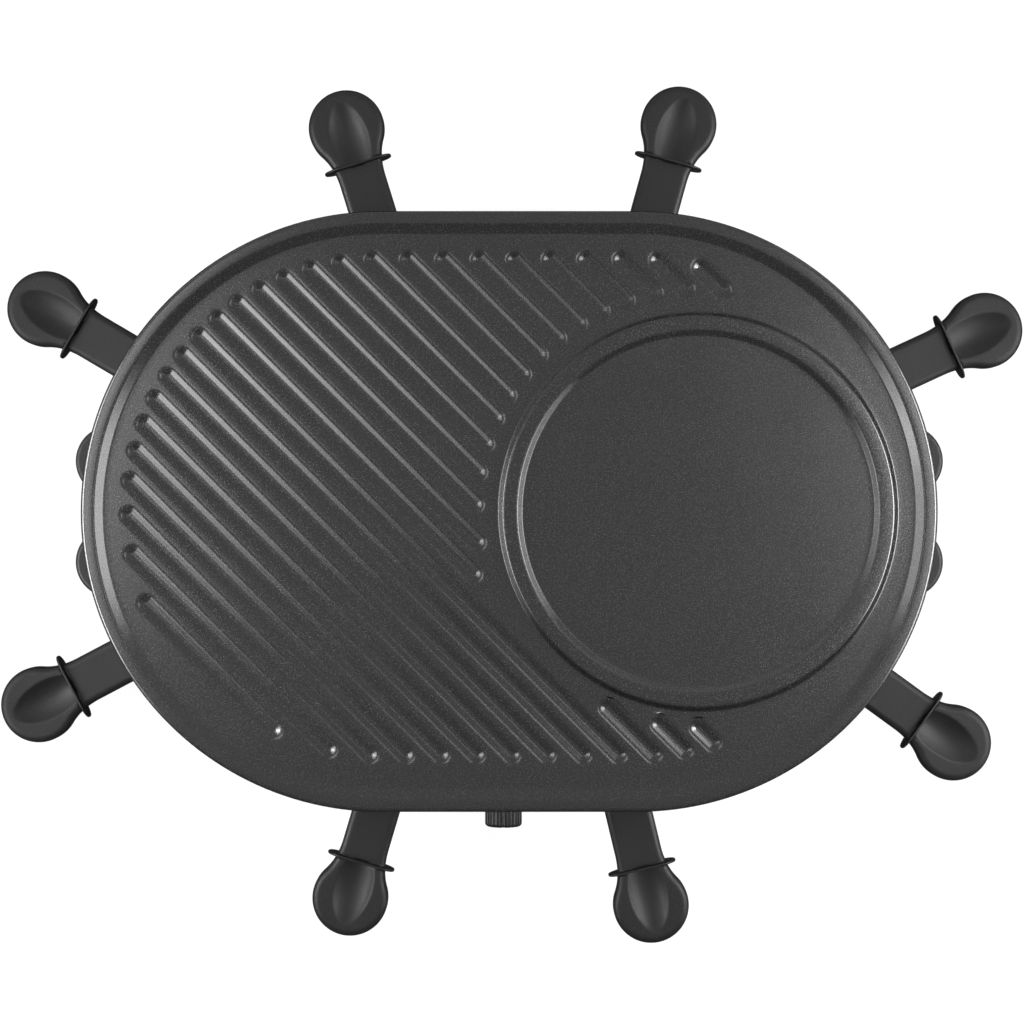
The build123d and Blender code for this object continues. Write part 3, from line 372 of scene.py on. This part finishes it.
def ring_patch():
    """Low ring with sloped flanks: both feet and both crests are arcs."""
    outer, inner = ring_outer_foot_r, ring_outer_foot_r - ring_width
    crest_z = surface_z + ring_height
    corners = [(outer + ring_seam, surface_z), (outer, surface_z),
               (outer - ring_slope_width, crest_z), (inner + ring_slope_width, crest_z),
               (inner, surface_z), (inner - ring_seam, surface_z)]
    return grid_patch(carried(circle, rounded(corners, ring_rounds, round_steps)))


# %% [markdown]
# ## The grooves
#
# The 29 grooves run from upper left to lower right at one pitch. Their ends aren't free: at one end
# they stop at a fixed distance from the plate's edge, and at the other at a fixed distance from the
# ring. So each is found by cutting its middle line with two curves, the oval drawn in from the edge
# and the circle round the ring.

# %% Where the grooves run
groove_pitch = 12.36 * mm
groove_phase = 2.9 * mm
groove_width = 8.3 * mm
groove_floor_width = 2.1 * mm
groove_depth = 1.6 * mm
groove_lip = 1.6 * mm
groove_lip_r = 6.0 * mm
groove_foot_r = 2.3 * mm
groove_tip_steps = 17
groove_start_margin = 19.3 * mm
groove_end_margin = 23.4 * mm
groove_ring_gap = 7.2 * mm
ring_groove_gap = 4.0 * mm
groove_least_length = 15.5 * mm
grazing_share = 0.88
grazing_setback = 11.0 * mm
along = np.array([1.0, -1.0]) / math.sqrt(2)
across = np.array([1.0, 1.0]) / math.sqrt(2)


def circle_span(base, centre, radius):
    """Where lines enter and leave a circle: m ∓ √(r² − g²), with m the place nearest to the centre
    and g the distance there. A line that misses gives no number."""
    middle = (centre - base) @ along
    gap = np.abs((centre - base) @ across)
    half = np.sqrt(np.where(gap < radius, radius ** 2 - gap ** 2, np.nan))
    return middle - half, middle + half, gap


def oval_span(base, radius):
    """Where lines enter and leave an oval: the first entry and the last exit of its two round ends
    and of the straight stretch between them. A line that misses them all gives no number."""
    spans = [circle_span(base, np.array([side * arc_x, 0.0]), radius)[:2] for side in (-1, 1)]
    x_low, x_high = (-arc_x - base[:, 0]) / along[0], (arc_x - base[:, 0]) / along[0]
    y_low, y_high = (radius - base[:, 1]) / along[1], (-radius - base[:, 1]) / along[1]
    low, high = np.maximum(x_low, y_low), np.minimum(x_high, y_high)
    spans.append((np.where(low < high, low, np.nan), np.where(low < high, high, np.nan)))
    return (np.fmin.reduce([span[0] for span in spans]),
            np.fmax.reduce([span[1] for span in spans]))


def groove_lines():
    """Both ends of every groove's middle line, as two arrays of points."""
    tip = groove_width / 2
    start_r = end_r - groove_start_margin - tip
    finish_r = end_r - groove_end_margin - tip
    stop_r = ring_outer_foot_r + groove_ring_gap + tip
    resume_r = ring_outer_foot_r + ring_groove_gap + tip
    steps = math.floor((start_r + arc_x) / groove_pitch)
    base = (groove_phase + np.arange(-steps, steps + 1) * groove_pitch)[:, None] * across
    start, end = oval_span(base, start_r)[0], oval_span(base, finish_r)[1]
    kept = ~np.isnan(start) & ~np.isnan(end)
    base, start, end = base[kept], start[kept], end[kept]
    ring_in, _, gap = circle_span(base, ring_centre, stop_r)
    ring_out = circle_span(base, ring_centre, resume_r)[1]
    crossing = ~np.isnan(ring_in)
    ring_out = np.where(np.isnan(ring_out), end, ring_out)
    setback = np.where(gap > grazing_share * stop_r, grazing_setback, 0)
    first_end = np.where(crossing, ring_in - setback, end)
    low = np.concatenate([start, ring_out[crossing]])
    high = np.concatenate([first_end, end[crossing]])
    base = np.concatenate([base, base[crossing]])
    long_enough = high - low + groove_width > groove_least_length
    base, low, high = base[long_enough], low[long_enough, None], high[long_enough, None]
    return base + along * low, base + along * high


groove_starts, groove_ends = groove_lines()
print(len(groove_starts), "grooves")


# %% [markdown]
# A groove's wall is straight for a short way only. Its foot is a soft round and its lip a broad
# one, so that the land between two grooves looks crowned all the way across. Round the slot's ends
# the same profile makes a small bowl, which catches the bright dots at the grooves' tips.


# %% One groove
def slot_path(start, end):
    """A slot's outline about its two end points."""
    turn = math.degrees(math.atan2(end[1] - start[1], end[0] - start[0]))
    arcs = [(*end, turn - 90, turn + 90), (*start, turn + 90, turn + 270)]
    return arc_path(arcs, groove_tip_steps)


def groove_profile():
    """From a narrow flat edge over the round lip, down the wall and round to the middle."""
    floor_z = surface_z - groove_depth
    corners = [(groove_width / 2 + groove_lip, surface_z), (groove_width / 2, surface_z),
               (groove_floor_width / 2, floor_z), (0, floor_z)]
    return rounded(corners, [groove_lip_r, groove_foot_r], round_steps)


groove_paths = [slot_path(start, end) for start, end in zip(groove_starts, groove_ends)]

# %% [markdown]
# On the underside four studs stand on the frame, so that the plate can't slide and heat stays in.
# They are plain pegs, turned about their own middle and welded into the flat underside.

# %% The studs
stud_r = 5.0 * mm
stud_root_r = 1.2 * mm
stud_foot_r = 0.8 * mm
stud_gap = 0.3 * mm
stud_steps = 33
frame_low, frame_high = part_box("upper_frame")
frame_r = (frame_high.y - frame_low.y) / 2
stud_low_z = frame_high.z + stud_gap
stud_share = 0.94
stud_turns = np.radians([40, 140, 220, 320])
stud_places = frame_r * stud_share * np.column_stack([np.cos(stud_turns), np.sin(stud_turns)])
stud_places[:, 0] += np.sign(np.cos(stud_turns)) * arc_x
stud_paths = [arc_path([(x, y, 0, 360)], stud_steps) for x, y in stud_places]
stud_seam = 3.0 * mm


def stud_patch(path):
    """Peg with a rounded foot and a rounded root."""
    corners = [(stud_r + stud_seam, under_z), (stud_r, under_z), (stud_r, stud_low_z),
               (0, stud_low_z)]
    return grid_patch(carried(path, rounded(corners, [stud_root_r, stud_foot_r])))


# %% Weld the plate
same_point = 0.001 * mm
field_loops = [level_line(oval, seam_r), level_line(circle, ring_outer_foot_r + ring_seam)]
field_loops += [level_line(path, groove_width / 2 + groove_lip) for path in groove_paths]
disc_loops = [level_line(circle, ring_outer_foot_r - ring_width - ring_seam)]
under_loops = [level_line(oval, under_seam_r)]
under_loops += [level_line(path, stud_r + stud_seam) for path in stud_paths]


def without_repeats(loop):
    """A loop whose last point isn't its first again."""
    return loop[:-1] if np.allclose(loop[0], loop[-1], atol=same_point) else loop


def plate_patches():
    """All the patches of the plate's skin."""
    patches = [rim_patch(), ring_patch()]
    patches += [grid_patch(carried(path, groove_profile())) for path in groove_paths]
    patches += [stud_patch(path) for path in stud_paths]
    flats = ((field_loops, surface_z), (disc_loops, surface_z), (under_loops, under_z))
    for loops, height in flats:
        patches.append(flat_patch([without_repeats(loop) for loop in loops], height))
    return patches


fitted(welded("grill_plate_skin", plate_patches()), "plate", "nonstick_coating", "grill_plate")

# %% [markdown]
# ## The pans' handles
#
# Each handle is one plastic moulding: a flat neck, an upright oval guard that keeps fingers from
# the hot pan, and a round bulb with a scoop for the thumb. It could be sculpted, but its outline is
# simple: a circle, two hollow blends and two straight sides that flare at the guard. The surface
# follows that outline with a rolled edge, and from the edge it runs in to a spine, where the scoop
# is pressed into it.

# %% Sizes of a handle
bulb_r = 19.5 * mm
bulb_thickness = 13.0 * mm
bulb_edge_r = 3.6 * mm
bulb_blend_r = 26.0 * mm
neck_length = 60.0 * mm
neck_half = 12.05 * mm
neck_guard_half = 12.9 * mm
neck_flare_place = 28.3 * mm
waist_half = 12.6 * mm
neck_thickness = 9.5 * mm
neck_edge_r = 3.2 * mm
neck_corner_r = 3.4 * mm
guard_place = 19.7 * mm
guard_width = 35.6 * mm
guard_height = 17.0 * mm
guard_corner_r = 7.5 * mm
guard_sheet = 1.4 * mm
scoop_depth = 4.0 * mm
scoop_half_width = 9.8 * mm
scoop_middle = 13.0 * mm
scoop_half_length = 20.0 * mm
scoop_softness = 0.25 * mm
guard_edge_r = 0.6 * mm
pan_screw_place = 46.0 * mm
bulb_steps, blend_steps, corner_steps, side_steps = 49, 13, 7, 32
roll_steps, spine_steps, guard_steps = 9, 25, 13


def handle_outline():
    """Points and outward directions round the handle, from the bulb's tip and back.

    The blend's centre lies where a circle of its radius touches both the bulb and the waist's side:
    its y is waist half + blend radius, and its distance from the bulb's middle is bulb radius +
    blend radius. It stops at the guard, which hides the step to the narrower neck. The neck flares
    towards the guard as the square of the way from the flare's start. The lower half is the upper
    half with y turned round."""
    blend_y = waist_half + bulb_blend_r
    blend_x = -math.sqrt((bulb_r + bulb_blend_r) ** 2 - blend_y ** 2)
    touch = math.atan2(blend_y, blend_x)
    bulb_turns = np.linspace(0, touch, bulb_steps)
    blend_end = 2 * math.pi - math.acos((-guard_place - blend_x) / bulb_blend_r)
    blend_turns = np.linspace(touch + math.pi, blend_end, blend_steps)
    corner_turns = np.linspace(math.pi / 2, math.pi, corner_steps)
    bulb_out = np.column_stack([np.cos(bulb_turns), np.sin(bulb_turns)])
    blend_in = np.column_stack([np.cos(blend_turns), np.sin(blend_turns)])
    corner_out = np.column_stack([np.cos(corner_turns), np.sin(corner_turns)])
    side_x = np.linspace(-guard_place - guard_sheet / 2, -neck_length + neck_corner_r, side_steps)
    side_x = side_x[:-1]
    flare = np.maximum(side_x + neck_flare_place, 0) / (neck_flare_place - guard_place)
    side_y = neck_half + (neck_guard_half - neck_half) * flare ** 2
    corner = np.array([-neck_length + neck_corner_r, neck_half - neck_corner_r])
    points = np.vstack([bulb_r * bulb_out, (blend_x, blend_y) + bulb_blend_r * blend_in,
                        np.column_stack([side_x, side_y]), corner + neck_corner_r * corner_out])
    outward = np.vstack([bulb_out, -blend_in, np.tile([0.0, 1.0], (len(side_x), 1)), corner_out])
    mirrored = np.array([1.0, -1.0])
    return (np.vstack([points, points[:0:-1] * mirrored]),
            np.vstack([outward, outward[:0:-1] * mirrored]))


def eased(value):
    """Smooth step from 0 to 1: 3t² − 2t³, with t the value held between 0 and 1."""
    held = np.clip(value, 0, 1)
    return held * held * (3 - 2 * held)


def scoop(x, y):
    """Depth of the thumb scoop under the bulb's top.

    It is almond-shaped: a level cutter of radius R = lift + depth · (1 − ((way − middle) / half
    length)²) leaves a cut √(R² − y²) − lift deep. A soft maximum with zero, (c + √(c² + k²)) / 2,
    rounds its edge."""
    lift = (scoop_half_width ** 2 / scoop_depth - scoop_depth) / 2
    way = x + guard_place
    radius = lift + scoop_depth * (1 - ((way - scoop_middle) / scoop_half_length) ** 2)
    cut = np.sqrt(np.maximum(radius ** 2 - y ** 2, 0)) - lift
    soft = (cut + np.sqrt(cut ** 2 + scoop_softness ** 2)) / 2
    return soft * (way > 0)


def handle_surface(middle_z):
    """Grid of the whole handle: bottom spine, bottom edge, side, top edge, top spine.

    Half thickness and edge radius change from the neck's to the bulb's inside the guard. On the
    rolled edge the inset is r · (1 − cos a) and the height ±(T − r) + r · sin a."""
    points, outward = handle_outline()
    on_bulb = eased((points[:, 0] + guard_place + guard_sheet / 2) / guard_sheet)[:, None]
    half = (neck_thickness + (bulb_thickness - neck_thickness) * on_bulb) / 2
    edge = neck_edge_r + (bulb_edge_r - neck_edge_r) * on_bulb
    roll = np.radians(np.append(np.linspace(-90, 0, roll_steps), np.linspace(0, 90, roll_steps)))
    side = np.where(np.arange(len(roll)) < roll_steps, -1.0, 1.0)
    inset = edge * (1 - np.cos(roll))
    edge_xy = points[:, None] - outward[:, None] * inset[:, :, None]
    edge_z = side * (half - edge) + edge * np.sin(roll)
    spine_x = np.clip(points[:, 0], -neck_length + neck_edge_r, 0)
    spine = np.column_stack([spine_x, np.zeros(len(points))])
    share = np.linspace(0, 1, spine_steps)[1:, None]
    inner_xy = edge_xy[:, -1, None] + (spine - edge_xy[:, -1])[:, None] * share
    near_bulb = eased((inner_xy[:, :, 0] + guard_place + guard_sheet / 2) / guard_sheet)
    inner_half = (neck_thickness + (bulb_thickness - neck_thickness) * near_bulb) / 2
    top_z = inner_half - scoop(inner_xy[:, :, 0], inner_xy[:, :, 1])
    top = np.dstack([inner_xy, top_z])
    bottom = np.dstack([inner_xy, -inner_half])[:, ::-1]
    grid = np.concatenate([bottom, np.dstack([edge_xy, edge_z]), top], axis=1)
    grid[:, :, 2] += middle_z
    return grid


def stood_up(patches, middle_x, middle_z):
    """Patches drawn flat, stood up across the handle: (x, y, z) becomes (z + middle x, x, y +
    middle z)."""
    return [(np.column_stack([flat[:, 2] + middle_x, flat[:, 0], flat[:, 1] + middle_z]), faces)
            for flat, faces in patches]


def guard_patches(middle_z):
    """Thin upright plate with a rolled edge, drawn flat and then stood up across the handle."""
    half_y = guard_width / 2 - guard_corner_r
    half_z = guard_height / 2 - guard_corner_r
    path = arc_path([(half_y, half_z, 0, 90), (-half_y, half_z, 90, 180),
                     (-half_y, -half_z, 180, 270), (half_y, -half_z, 270, 360)], guard_steps)
    half = guard_sheet / 2
    corners = [(0, -half), (guard_corner_r, -half), (guard_corner_r, half), (0, half)]
    inner = without_repeats(level_line(path, 0))[::guard_steps]
    patches = [grid_patch(carried(path, rounded(corners, [guard_edge_r, guard_edge_r]))),
               flat_patch([inner], -half), flat_patch([inner], half)]
    return stood_up(patches, -guard_place, middle_z)


def placed(patch, place, outward):
    """A patch turned so that its X axis points outward, and moved to its place."""
    vertices, faces = patch
    x_axis, y_axis = outward, np.array([-outward[1], outward[0]])
    flat = vertices[:, :1] * x_axis + vertices[:, 1:2] * y_axis + place
    return np.column_stack([flat, vertices[:, 2]]), faces


# %% [markdown]
# Each handle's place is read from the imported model: the slide's axis gives the way that it points,
# and the screw that holds it to its pan lies a known distance from the bulb's middle.

# %% The eight handles
pan_count = 8
joint_axes = {joint["child"]: np.array(joint["axis"][:2]) for joint in frame["joints"]}
pan_outward, pan_place = {}, {}
for number in range(1, pan_count + 1):
    outward = joint_axes[f"pan_set_{number}"]
    screw_low, screw_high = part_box(f"pan_screw_{number}")
    screw_middle = np.array((screw_low + screw_high) / 2)[:2]
    pan_outward[number] = outward
    pan_place[number] = screw_middle + outward * pan_screw_place
    handle_low, handle_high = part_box(f"pan_handle_{number}")
    handle_z = (handle_low.z + handle_high.z) / 2
    patches = [grid_patch(handle_surface(handle_z))] + guard_patches(handle_z)
    patches = [placed(patch, pan_place[number], outward) for patch in patches]
    fitted(welded(f"pan_handle_{number}_skin", patches), f"pan_set_{number}", "handle_plastic",
           f"pan_handle_{number}")

# %% [markdown]
# ## The pans
#
# A raclette pan is pressed from thin sheet: a wedge in plan so that eight fit round the deck, with
# sloped walls, a flat lip, and a strap welded under the lip for the handle. One profile, out along
# the bottom, up the wall, round the lip and back down inside, carried round the wedge makes the
# dish.

# %% Sizes of a pan
pan_reach = 66.0 * mm
pan_length = 86.0 * mm
pan_outer_half = 34.0 * mm
pan_inner_half = 25.0 * mm
pan_corner_r = 15.0 * mm
pan_sheet = 1.0 * mm
pan_lip = 3.0 * mm
pan_draft = 3.0 * mm
strap_width = 14.0 * mm
strap_sheet = 1.5 * mm
strap_length = 32.0 * mm
strap_edge_share = 0.4
dish_seam = 4.0 * mm
dish_inner_seam = 5.0 * mm
dish_rounds = np.array([2.6, 1.4, 0.45, 0.45, 1.0, 2.0]) * mm
wedge_steps, strap_steps = 13, 5


def wedge_path():
    """The dish's outline as four corner arcs.

    A slanted side's outward direction is (inner half − outer half, length), made a unit long. A
    corner's centre lies one corner radius inside its two sides."""
    slant = np.array([pan_inner_half - pan_outer_half, pan_length])
    slant /= np.linalg.norm(slant)
    side_turn = math.degrees(math.atan2(slant[1], slant[0]))
    reach = slant @ (-pan_reach, pan_outer_half) - pan_corner_r
    outer_x, inner_x = -pan_reach - pan_corner_r, -pan_reach - pan_length + pan_corner_r
    outer_y = (reach - slant[0] * outer_x) / slant[1]
    inner_y = (reach - slant[0] * inner_x) / slant[1]
    return arc_path([(outer_x, outer_y, 0, side_turn), (inner_x, inner_y, side_turn, 180),
                     (inner_x, -inner_y, 180, 360 - side_turn),
                     (outer_x, -outer_y, 360 - side_turn, 360)], wedge_steps)


def dish_patches(low_z, high_z):
    """The dish: its profile round the wedge, and its flat bottom inside and out."""
    path = wedge_path()
    foot = pan_corner_r - pan_lip - pan_draft
    wall = pan_corner_r - pan_lip
    corners = [(foot - dish_seam, low_z), (foot, low_z), (wall, high_z - pan_sheet),
               (pan_corner_r, high_z - pan_sheet), (pan_corner_r, high_z),
               (wall - pan_sheet, high_z), (foot - pan_sheet, low_z + pan_sheet),
               (foot - dish_inner_seam, low_z + pan_sheet)]
    profile = rounded(corners, dish_rounds)
    outside = without_repeats(level_line(path, profile[0, 0]))
    inside = without_repeats(level_line(path, profile[-1, 0]))
    return [grid_patch(carried(path, profile)), flat_patch([outside], low_z),
            flat_patch([inside], low_z + pan_sheet)]


def strap_patches(middle_z):
    """Flat bar with rounded edges, drawn on end and laid along the handle."""
    corner_r = strap_sheet * strap_edge_share
    half_y, half_z = strap_width / 2 - corner_r, strap_sheet / 2 - corner_r
    path = arc_path([(half_y, half_z, 0, 90), (-half_y, half_z, 90, 180),
                     (-half_y, -half_z, 180, 270), (half_y, -half_z, 270, 360)], strap_steps)
    low_x, high_x = -pan_reach - pan_lip, -pan_reach + strap_length
    profile = np.array([(corner_r, low_x), (corner_r, high_x)])
    end = without_repeats(level_line(path, corner_r))
    patches = [grid_patch(carried(path, profile)), flat_patch([end], low_x),
               flat_patch([end], high_x)]
    return stood_up(patches, 0.0, middle_z)


# %% The eight pans
for number in range(1, pan_count + 1):
    dish_low, dish_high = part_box(f"pan_{number}")
    strap_z = dish_high.z - pan_sheet - strap_sheet / 2
    patches = dish_patches(dish_low.z, dish_high.z) + strap_patches(strap_z)
    patches = [placed(patch, pan_place[number], pan_outward[number]) for patch in patches]
    dish = welded(f"pan_{number}_skin", patches)
    fitted(dish, f"pan_set_{number}", "pan_coating", f"pan_{number}")

# %% [markdown]
# ## The temperature knob
#
# The knob is a small cap with 24 flutes for the fingers. It is turned like a lathe part, with one
# difference: its radius also falls a little at every flute. The same array carries the pointer, a
# slot that is pressed into the front face from the middle outwards.

# %% The knob
knob_flutes = 24
knob_flute_depth = 0.45 * mm
knob_recess_r = 7.4 * mm
knob_recess_depth = 5.0 * mm
knob_bore_r = 3.05 * mm
knob_bore_depth = 13.5 * mm
pointer_half = 0.7 * mm
pointer_depth = 0.6 * mm
pointer_softness = 0.3 * mm
knob_rounds = np.array([0.3, 0.4, 0.6, 0.3, 0.5, 1.8]) * mm
knob_back_depth = 0.3 * mm
knob_front_depth = 0.1 * mm
knob_front_steps, steps_per_flute = 17, 10


def knob_patch():
    """Lathe surface about the knob's axis, closed at the bore's end and at the front.

    Round the side the radius falls by depth · max(0, cos 24t)², which leaves rounded ribs between
    narrow hollows. The front face sinks by the pointer's depth where it lies within its half
    width."""
    low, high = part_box("temperature_knob")
    radius = (high.x - low.x) / 2
    length = high.y - low.y
    corners = [(0, knob_bore_depth), (knob_bore_r, knob_bore_depth),
               (knob_bore_r, knob_recess_depth), (knob_recess_r, knob_recess_depth),
               (knob_recess_r, 0), (radius, 0), (radius, length), (0, length)]
    profile = rounded(corners, knob_rounds)
    front = np.linspace(profile[-2], profile[-1], knob_front_steps)[1:]
    profile = np.vstack([profile[:-1], front])
    turns = np.linspace(0, 2 * np.pi, knob_flutes * steps_per_flute + 1)[:-1, None]
    off_back = profile[:, 1] > knob_back_depth
    outside = eased((profile[:, 0] - knob_recess_r) / (radius - knob_recess_r)) * off_back
    hollow = knob_flute_depth * np.maximum(np.cos(knob_flutes * turns), 0) ** 2
    distance = profile[:, 0] - hollow * outside
    side, up = distance * np.cos(turns), distance * np.sin(turns)
    on_front = profile[:, 1] > length - knob_front_depth
    within = eased((pointer_half - np.abs(side)) / pointer_softness) * (up > 0) * on_front
    depth = np.broadcast_to(profile[:, 1], side.shape) - pointer_depth * within
    x_middle, z_middle = (low.x + high.x) / 2, (low.z + high.z) / 2
    return grid_patch(np.dstack([x_middle + side, high.y - depth, z_middle + up]))


fitted(welded("temperature_knob_skin", [knob_patch()]), "knob", "knob_plastic", "temperature_knob")

# %% [markdown]
# ## The pieces that keep their engineering shape
#
# Pillars, base, deck, frame, heater and fasteners have the right shape already. Their imported
# meshes are loose triangles, though, which shade as facets. So each gets a copy that is welded,
# shaded smooth up to an angle, and given a fine bevel, because no moulded or pressed edge is a
# knife's edge. Weighted normals then let the large faces decide, or the long thin triangles beside
# a round would show.


# %% Welded copies
smooth_up_to = math.radians(32)
bevel_segments = 2


def welded_copy(node, bevel):
    """A node's mesh with its points joined, smooth up to an angle, and its edges broken."""
    mesh = frame["nodes"][node].data.copy()
    work = bmesh.new()
    work.from_mesh(mesh)
    bmesh.ops.remove_doubles(work, verts=work.verts, dist=weld_gap)
    work.to_mesh(mesh)
    work.free()
    mesh.shade_smooth()
    mesh.set_sharp_from_angle(angle=smooth_up_to)
    piece = bpy.data.objects.new(node + "_skin", mesh)
    scene.collection.objects.link(piece)
    if bevel:
        edge = piece.modifiers.new("edge", "BEVEL")
        edge.width = bevel
        edge.segments = bevel_segments
        edge.limit_method = "ANGLE"
        edge.angle_limit = smooth_up_to
    even = piece.modifiers.new("even", "WEIGHTED_NORMAL")
    even.keep_sharp = True
    return piece


bevels = {"front_upright": 0.5, "rear_upright": 0.5, "left_upright": 0.5, "right_upright": 0.5,
          "base_shell": 0.4, "left_handle": 0.0, "right_handle": 0.0}
usual_bevel = 0.15
node_slots = {part["node"]: part["material_slot"] for part in frame["record"]["subparts"]}
node_bodies = {node: body for body, nodes in frame["record"]["behaviour"]["bodies"].items()
               for node in nodes}
for node, slot in node_slots.items():
    if not frame["nodes"][node].hide_render:
        piece = welded_copy(node, bevels.get(node, usual_bevel) * mm)
        fitted(piece, node_bodies[node], slot, node)
print("every node has its finish")

# %% [markdown]
# ## Floor and light
#
# The plate's slopes and grooves carry long bright lines on the sides that face left and right, and
# its front and back edges stay dark. So soft lamps stand in two rows, left and right, from just
# above the table to overhead, with one panel at the front left for the grooves' walls, and the
# strength of each sets the slopes that it faces. Two of them are narrowed, to light the plate's
# ends only. The floor is white to the camera, but dark in mirror images, and still takes the
# grill's shadow.

# %% Floor
floor_half = 6.0
floor_white = 0.8
floor_mirrored = 0.08
floor_glow = 1.06
floor_glow_share = 0.90
floor_mesh = bpy.data.meshes.new("floor")
floor_corners = [(-floor_half, -floor_half, 0), (floor_half, -floor_half, 0),
                 (floor_half, floor_half, 0), (-floor_half, floor_half, 0)]
floor_mesh.from_pydata(floor_corners, [], [(0, 1, 2, 3)])
floor = bpy.data.objects.new("floor", floor_mesh)
scene.collection.objects.link(floor)


def largest(tree, first, second):
    """The larger of two values."""
    node = tree.nodes.new("ShaderNodeMath")
    node.operation = "MAXIMUM"
    tree.links.new(first, node.inputs[0])
    tree.links.new(second, node.inputs[1])
    return node.outputs["Value"]


def mixed(tree, factor, first, second):
    """first where the factor is 0, second where it is 1."""
    node = tree.nodes.new("ShaderNodeMix")
    tree.links.new(factor, node.inputs["Factor"])
    for socket, value in (("A", first), ("B", second)):
        if isinstance(value, float):
            node.inputs[socket].default_value = value
        else:
            tree.links.new(value, node.inputs[socket])
    return node.outputs["Result"]


def seen_by_lens(tree):
    """1 for rays that end at the camera, straight or by way of a clear piece, else 0."""
    path = tree.nodes.new("ShaderNodeLightPath")
    return largest(tree, path.outputs["Is Camera Ray"], path.outputs["Is Transmission Ray"])


def floor_finish():
    """White card: mostly its own white to the lens, with some real shade in it. In mirror images it
    is dark, as the edges of the photographed pieces show no white from below."""
    material = bpy.data.materials.new("floor")
    material.use_nodes = True
    tree = material.node_tree
    tree.nodes.clear()
    output = tree.nodes.new("ShaderNodeOutputMaterial")
    card = tree.nodes.new("ShaderNodeBsdfDiffuse")
    mirrored = tree.nodes.new("ShaderNodeLightPath").outputs["Is Glossy Ray"]
    tree.links.new(mixed(tree, mirrored, floor_white, floor_mirrored), card.inputs["Color"])
    glow = tree.nodes.new("ShaderNodeEmission")
    glow.inputs["Strength"].default_value = floor_glow
    share = tree.nodes.new("ShaderNodeMath")
    share.operation = "MULTIPLY"
    share.inputs[1].default_value = floor_glow_share
    tree.links.new(seen_by_lens(tree), share.inputs[0])
    mix = tree.nodes.new("ShaderNodeMixShader")
    tree.links.new(share.outputs["Value"], mix.inputs["Fac"])
    tree.links.new(card.outputs["BSDF"], mix.inputs[1])
    tree.links.new(glow.outputs["Emission"], mix.inputs[2])
    tree.links.new(mix.outputs["Shader"], output.inputs["Surface"])
    return material


floor_mesh.materials.append(floor_finish())

# %% World and lamps
world = bpy.data.worlds.new("studio")
scene.world = world
world.use_nodes = True
world_tree = world.node_tree
sky = world_tree.nodes["Background"]
sky.inputs["Color"].default_value = (1, 1, 1, 1)
sky_fill = 0.10
front_glow = 0.45
overhead_glow = 0.95
front_from, front_full = -0.75, 0.05
above_from, above_full = 0.35, 0.95


def backdrop_glow(tree):
    """How white the room is in mirror images: white at the back and sides, where the cards stand, a
    little dimmer overhead, where the lens looks in, and about half as bright at the open front."""
    direction = tree.nodes.new("ShaderNodeTexCoord").outputs["Generated"]
    parts = tree.nodes.new("ShaderNodeSeparateXYZ")
    tree.links.new(direction, parts.inputs["Vector"])
    both = tree.nodes.new("ShaderNodeMath")
    both.operation = "MULTIPLY"
    front = spread(tree, parts.outputs["Y"], front_glow, 1.0, front_from, front_full)
    above = spread(tree, parts.outputs["Z"], 1.0, overhead_glow, above_from, above_full)
    tree.links.new(front, both.inputs[0])
    tree.links.new(above, both.inputs[1])
    return both.outputs["Value"]


world_path = world_tree.nodes.new("ShaderNodeLightPath")
straight = largest(world_tree, world_path.outputs["Is Camera Ray"],
                   world_path.outputs["Is Transmission Ray"])
mirrored_glow = mixed(world_tree, world_path.outputs["Is Glossy Ray"], sky_fill,
                      backdrop_glow(world_tree))
world_tree.links.new(mixed(world_tree, straight, mirrored_glow, 1.0), sky.inputs["Strength"])


def soft_lamp(name, place, width, height, watts, aim_x=0.0, grid=180):
    """Rectangular lamp that faces the plate at aim_x. A grid in front of it narrows its light to an
    angle in degrees, so that it can light the plate's end and not the handles beside it."""
    data = bpy.data.lights.new(name, "AREA")
    data.shape = "RECTANGLE"
    data.size, data.size_y = width, height
    data.energy = watts
    data.spread = math.radians(grid)
    lamp = bpy.data.objects.new(name, data)
    lamp.location = place
    away = lamp.location.copy()
    away.x -= aim_x
    away.z -= plate_top
    lamp.rotation_euler = away.to_track_quat("Z", "Y").to_euler()
    lamp.visible_camera = False
    scene.collection.objects.link(lamp)


# Each pair: place on the right, width, height, watts on the left and on the right, aim and grid.
# The watts, also those of the two single lamps, weren't chosen by hand: a least-squares program
# fitted them to the photo's brightness. They were then rounded, five of them 6 to 15 % upwards.
paired_lamps = {
    "low": ((0.70, -0.05, 0.32), 0.70, 0.14, 1.3, 0.90, 0.0, 180),
    "strip": ((0.70, -0.05, 0.17), 0.90, 0.10, 0.60, 1.8, 0.0, 180),
    "near": ((0.45, 0.0, 0.42), 0.40, 0.12, 0.55, 0.90, 0.0, 180),
    "panel": ((0.70, -0.03, 0.50), 0.70, 0.24, 1.2, 2.6, 0.0, 180),
    "high": ((0.42, 0.10, 1.10), 0.50, 0.16, 0.90, 0.25, 0.0, 180),
    "top": ((0.65, 0.10, 1.90), 0.60, 0.20, 1.3, 2.75, 0.0, 180),
    "end": ((0.34, 0.0, 0.24), 0.30, 0.08, 0.23, 0.22, 0.17, 55),
    "back": ((0.60, 0.60, 0.30), 0.40, 0.20, 0.30, 0.45, 0.0, 180),
}
soft_lamp("left_front_panel", (-0.80, -0.35, 0.68), 0.40, 0.35, 2.95)
for side, sign in (("left", -1), ("right", 1)):
    for name, (place, width, height, left_watts, right_watts, aim_x, grid) in paired_lamps.items():
        watts = left_watts if side == "left" else right_watts
        place = (sign * place[0], *place[1:])
        soft_lamp(f"{side}_{name}", place, width, height, watts, sign * aim_x, grid)
soft_lamp("back_strip", (0.0, 0.70, 0.17), 1.00, 0.10, 0.26)

scene.view_settings.view_transform = "Standard"
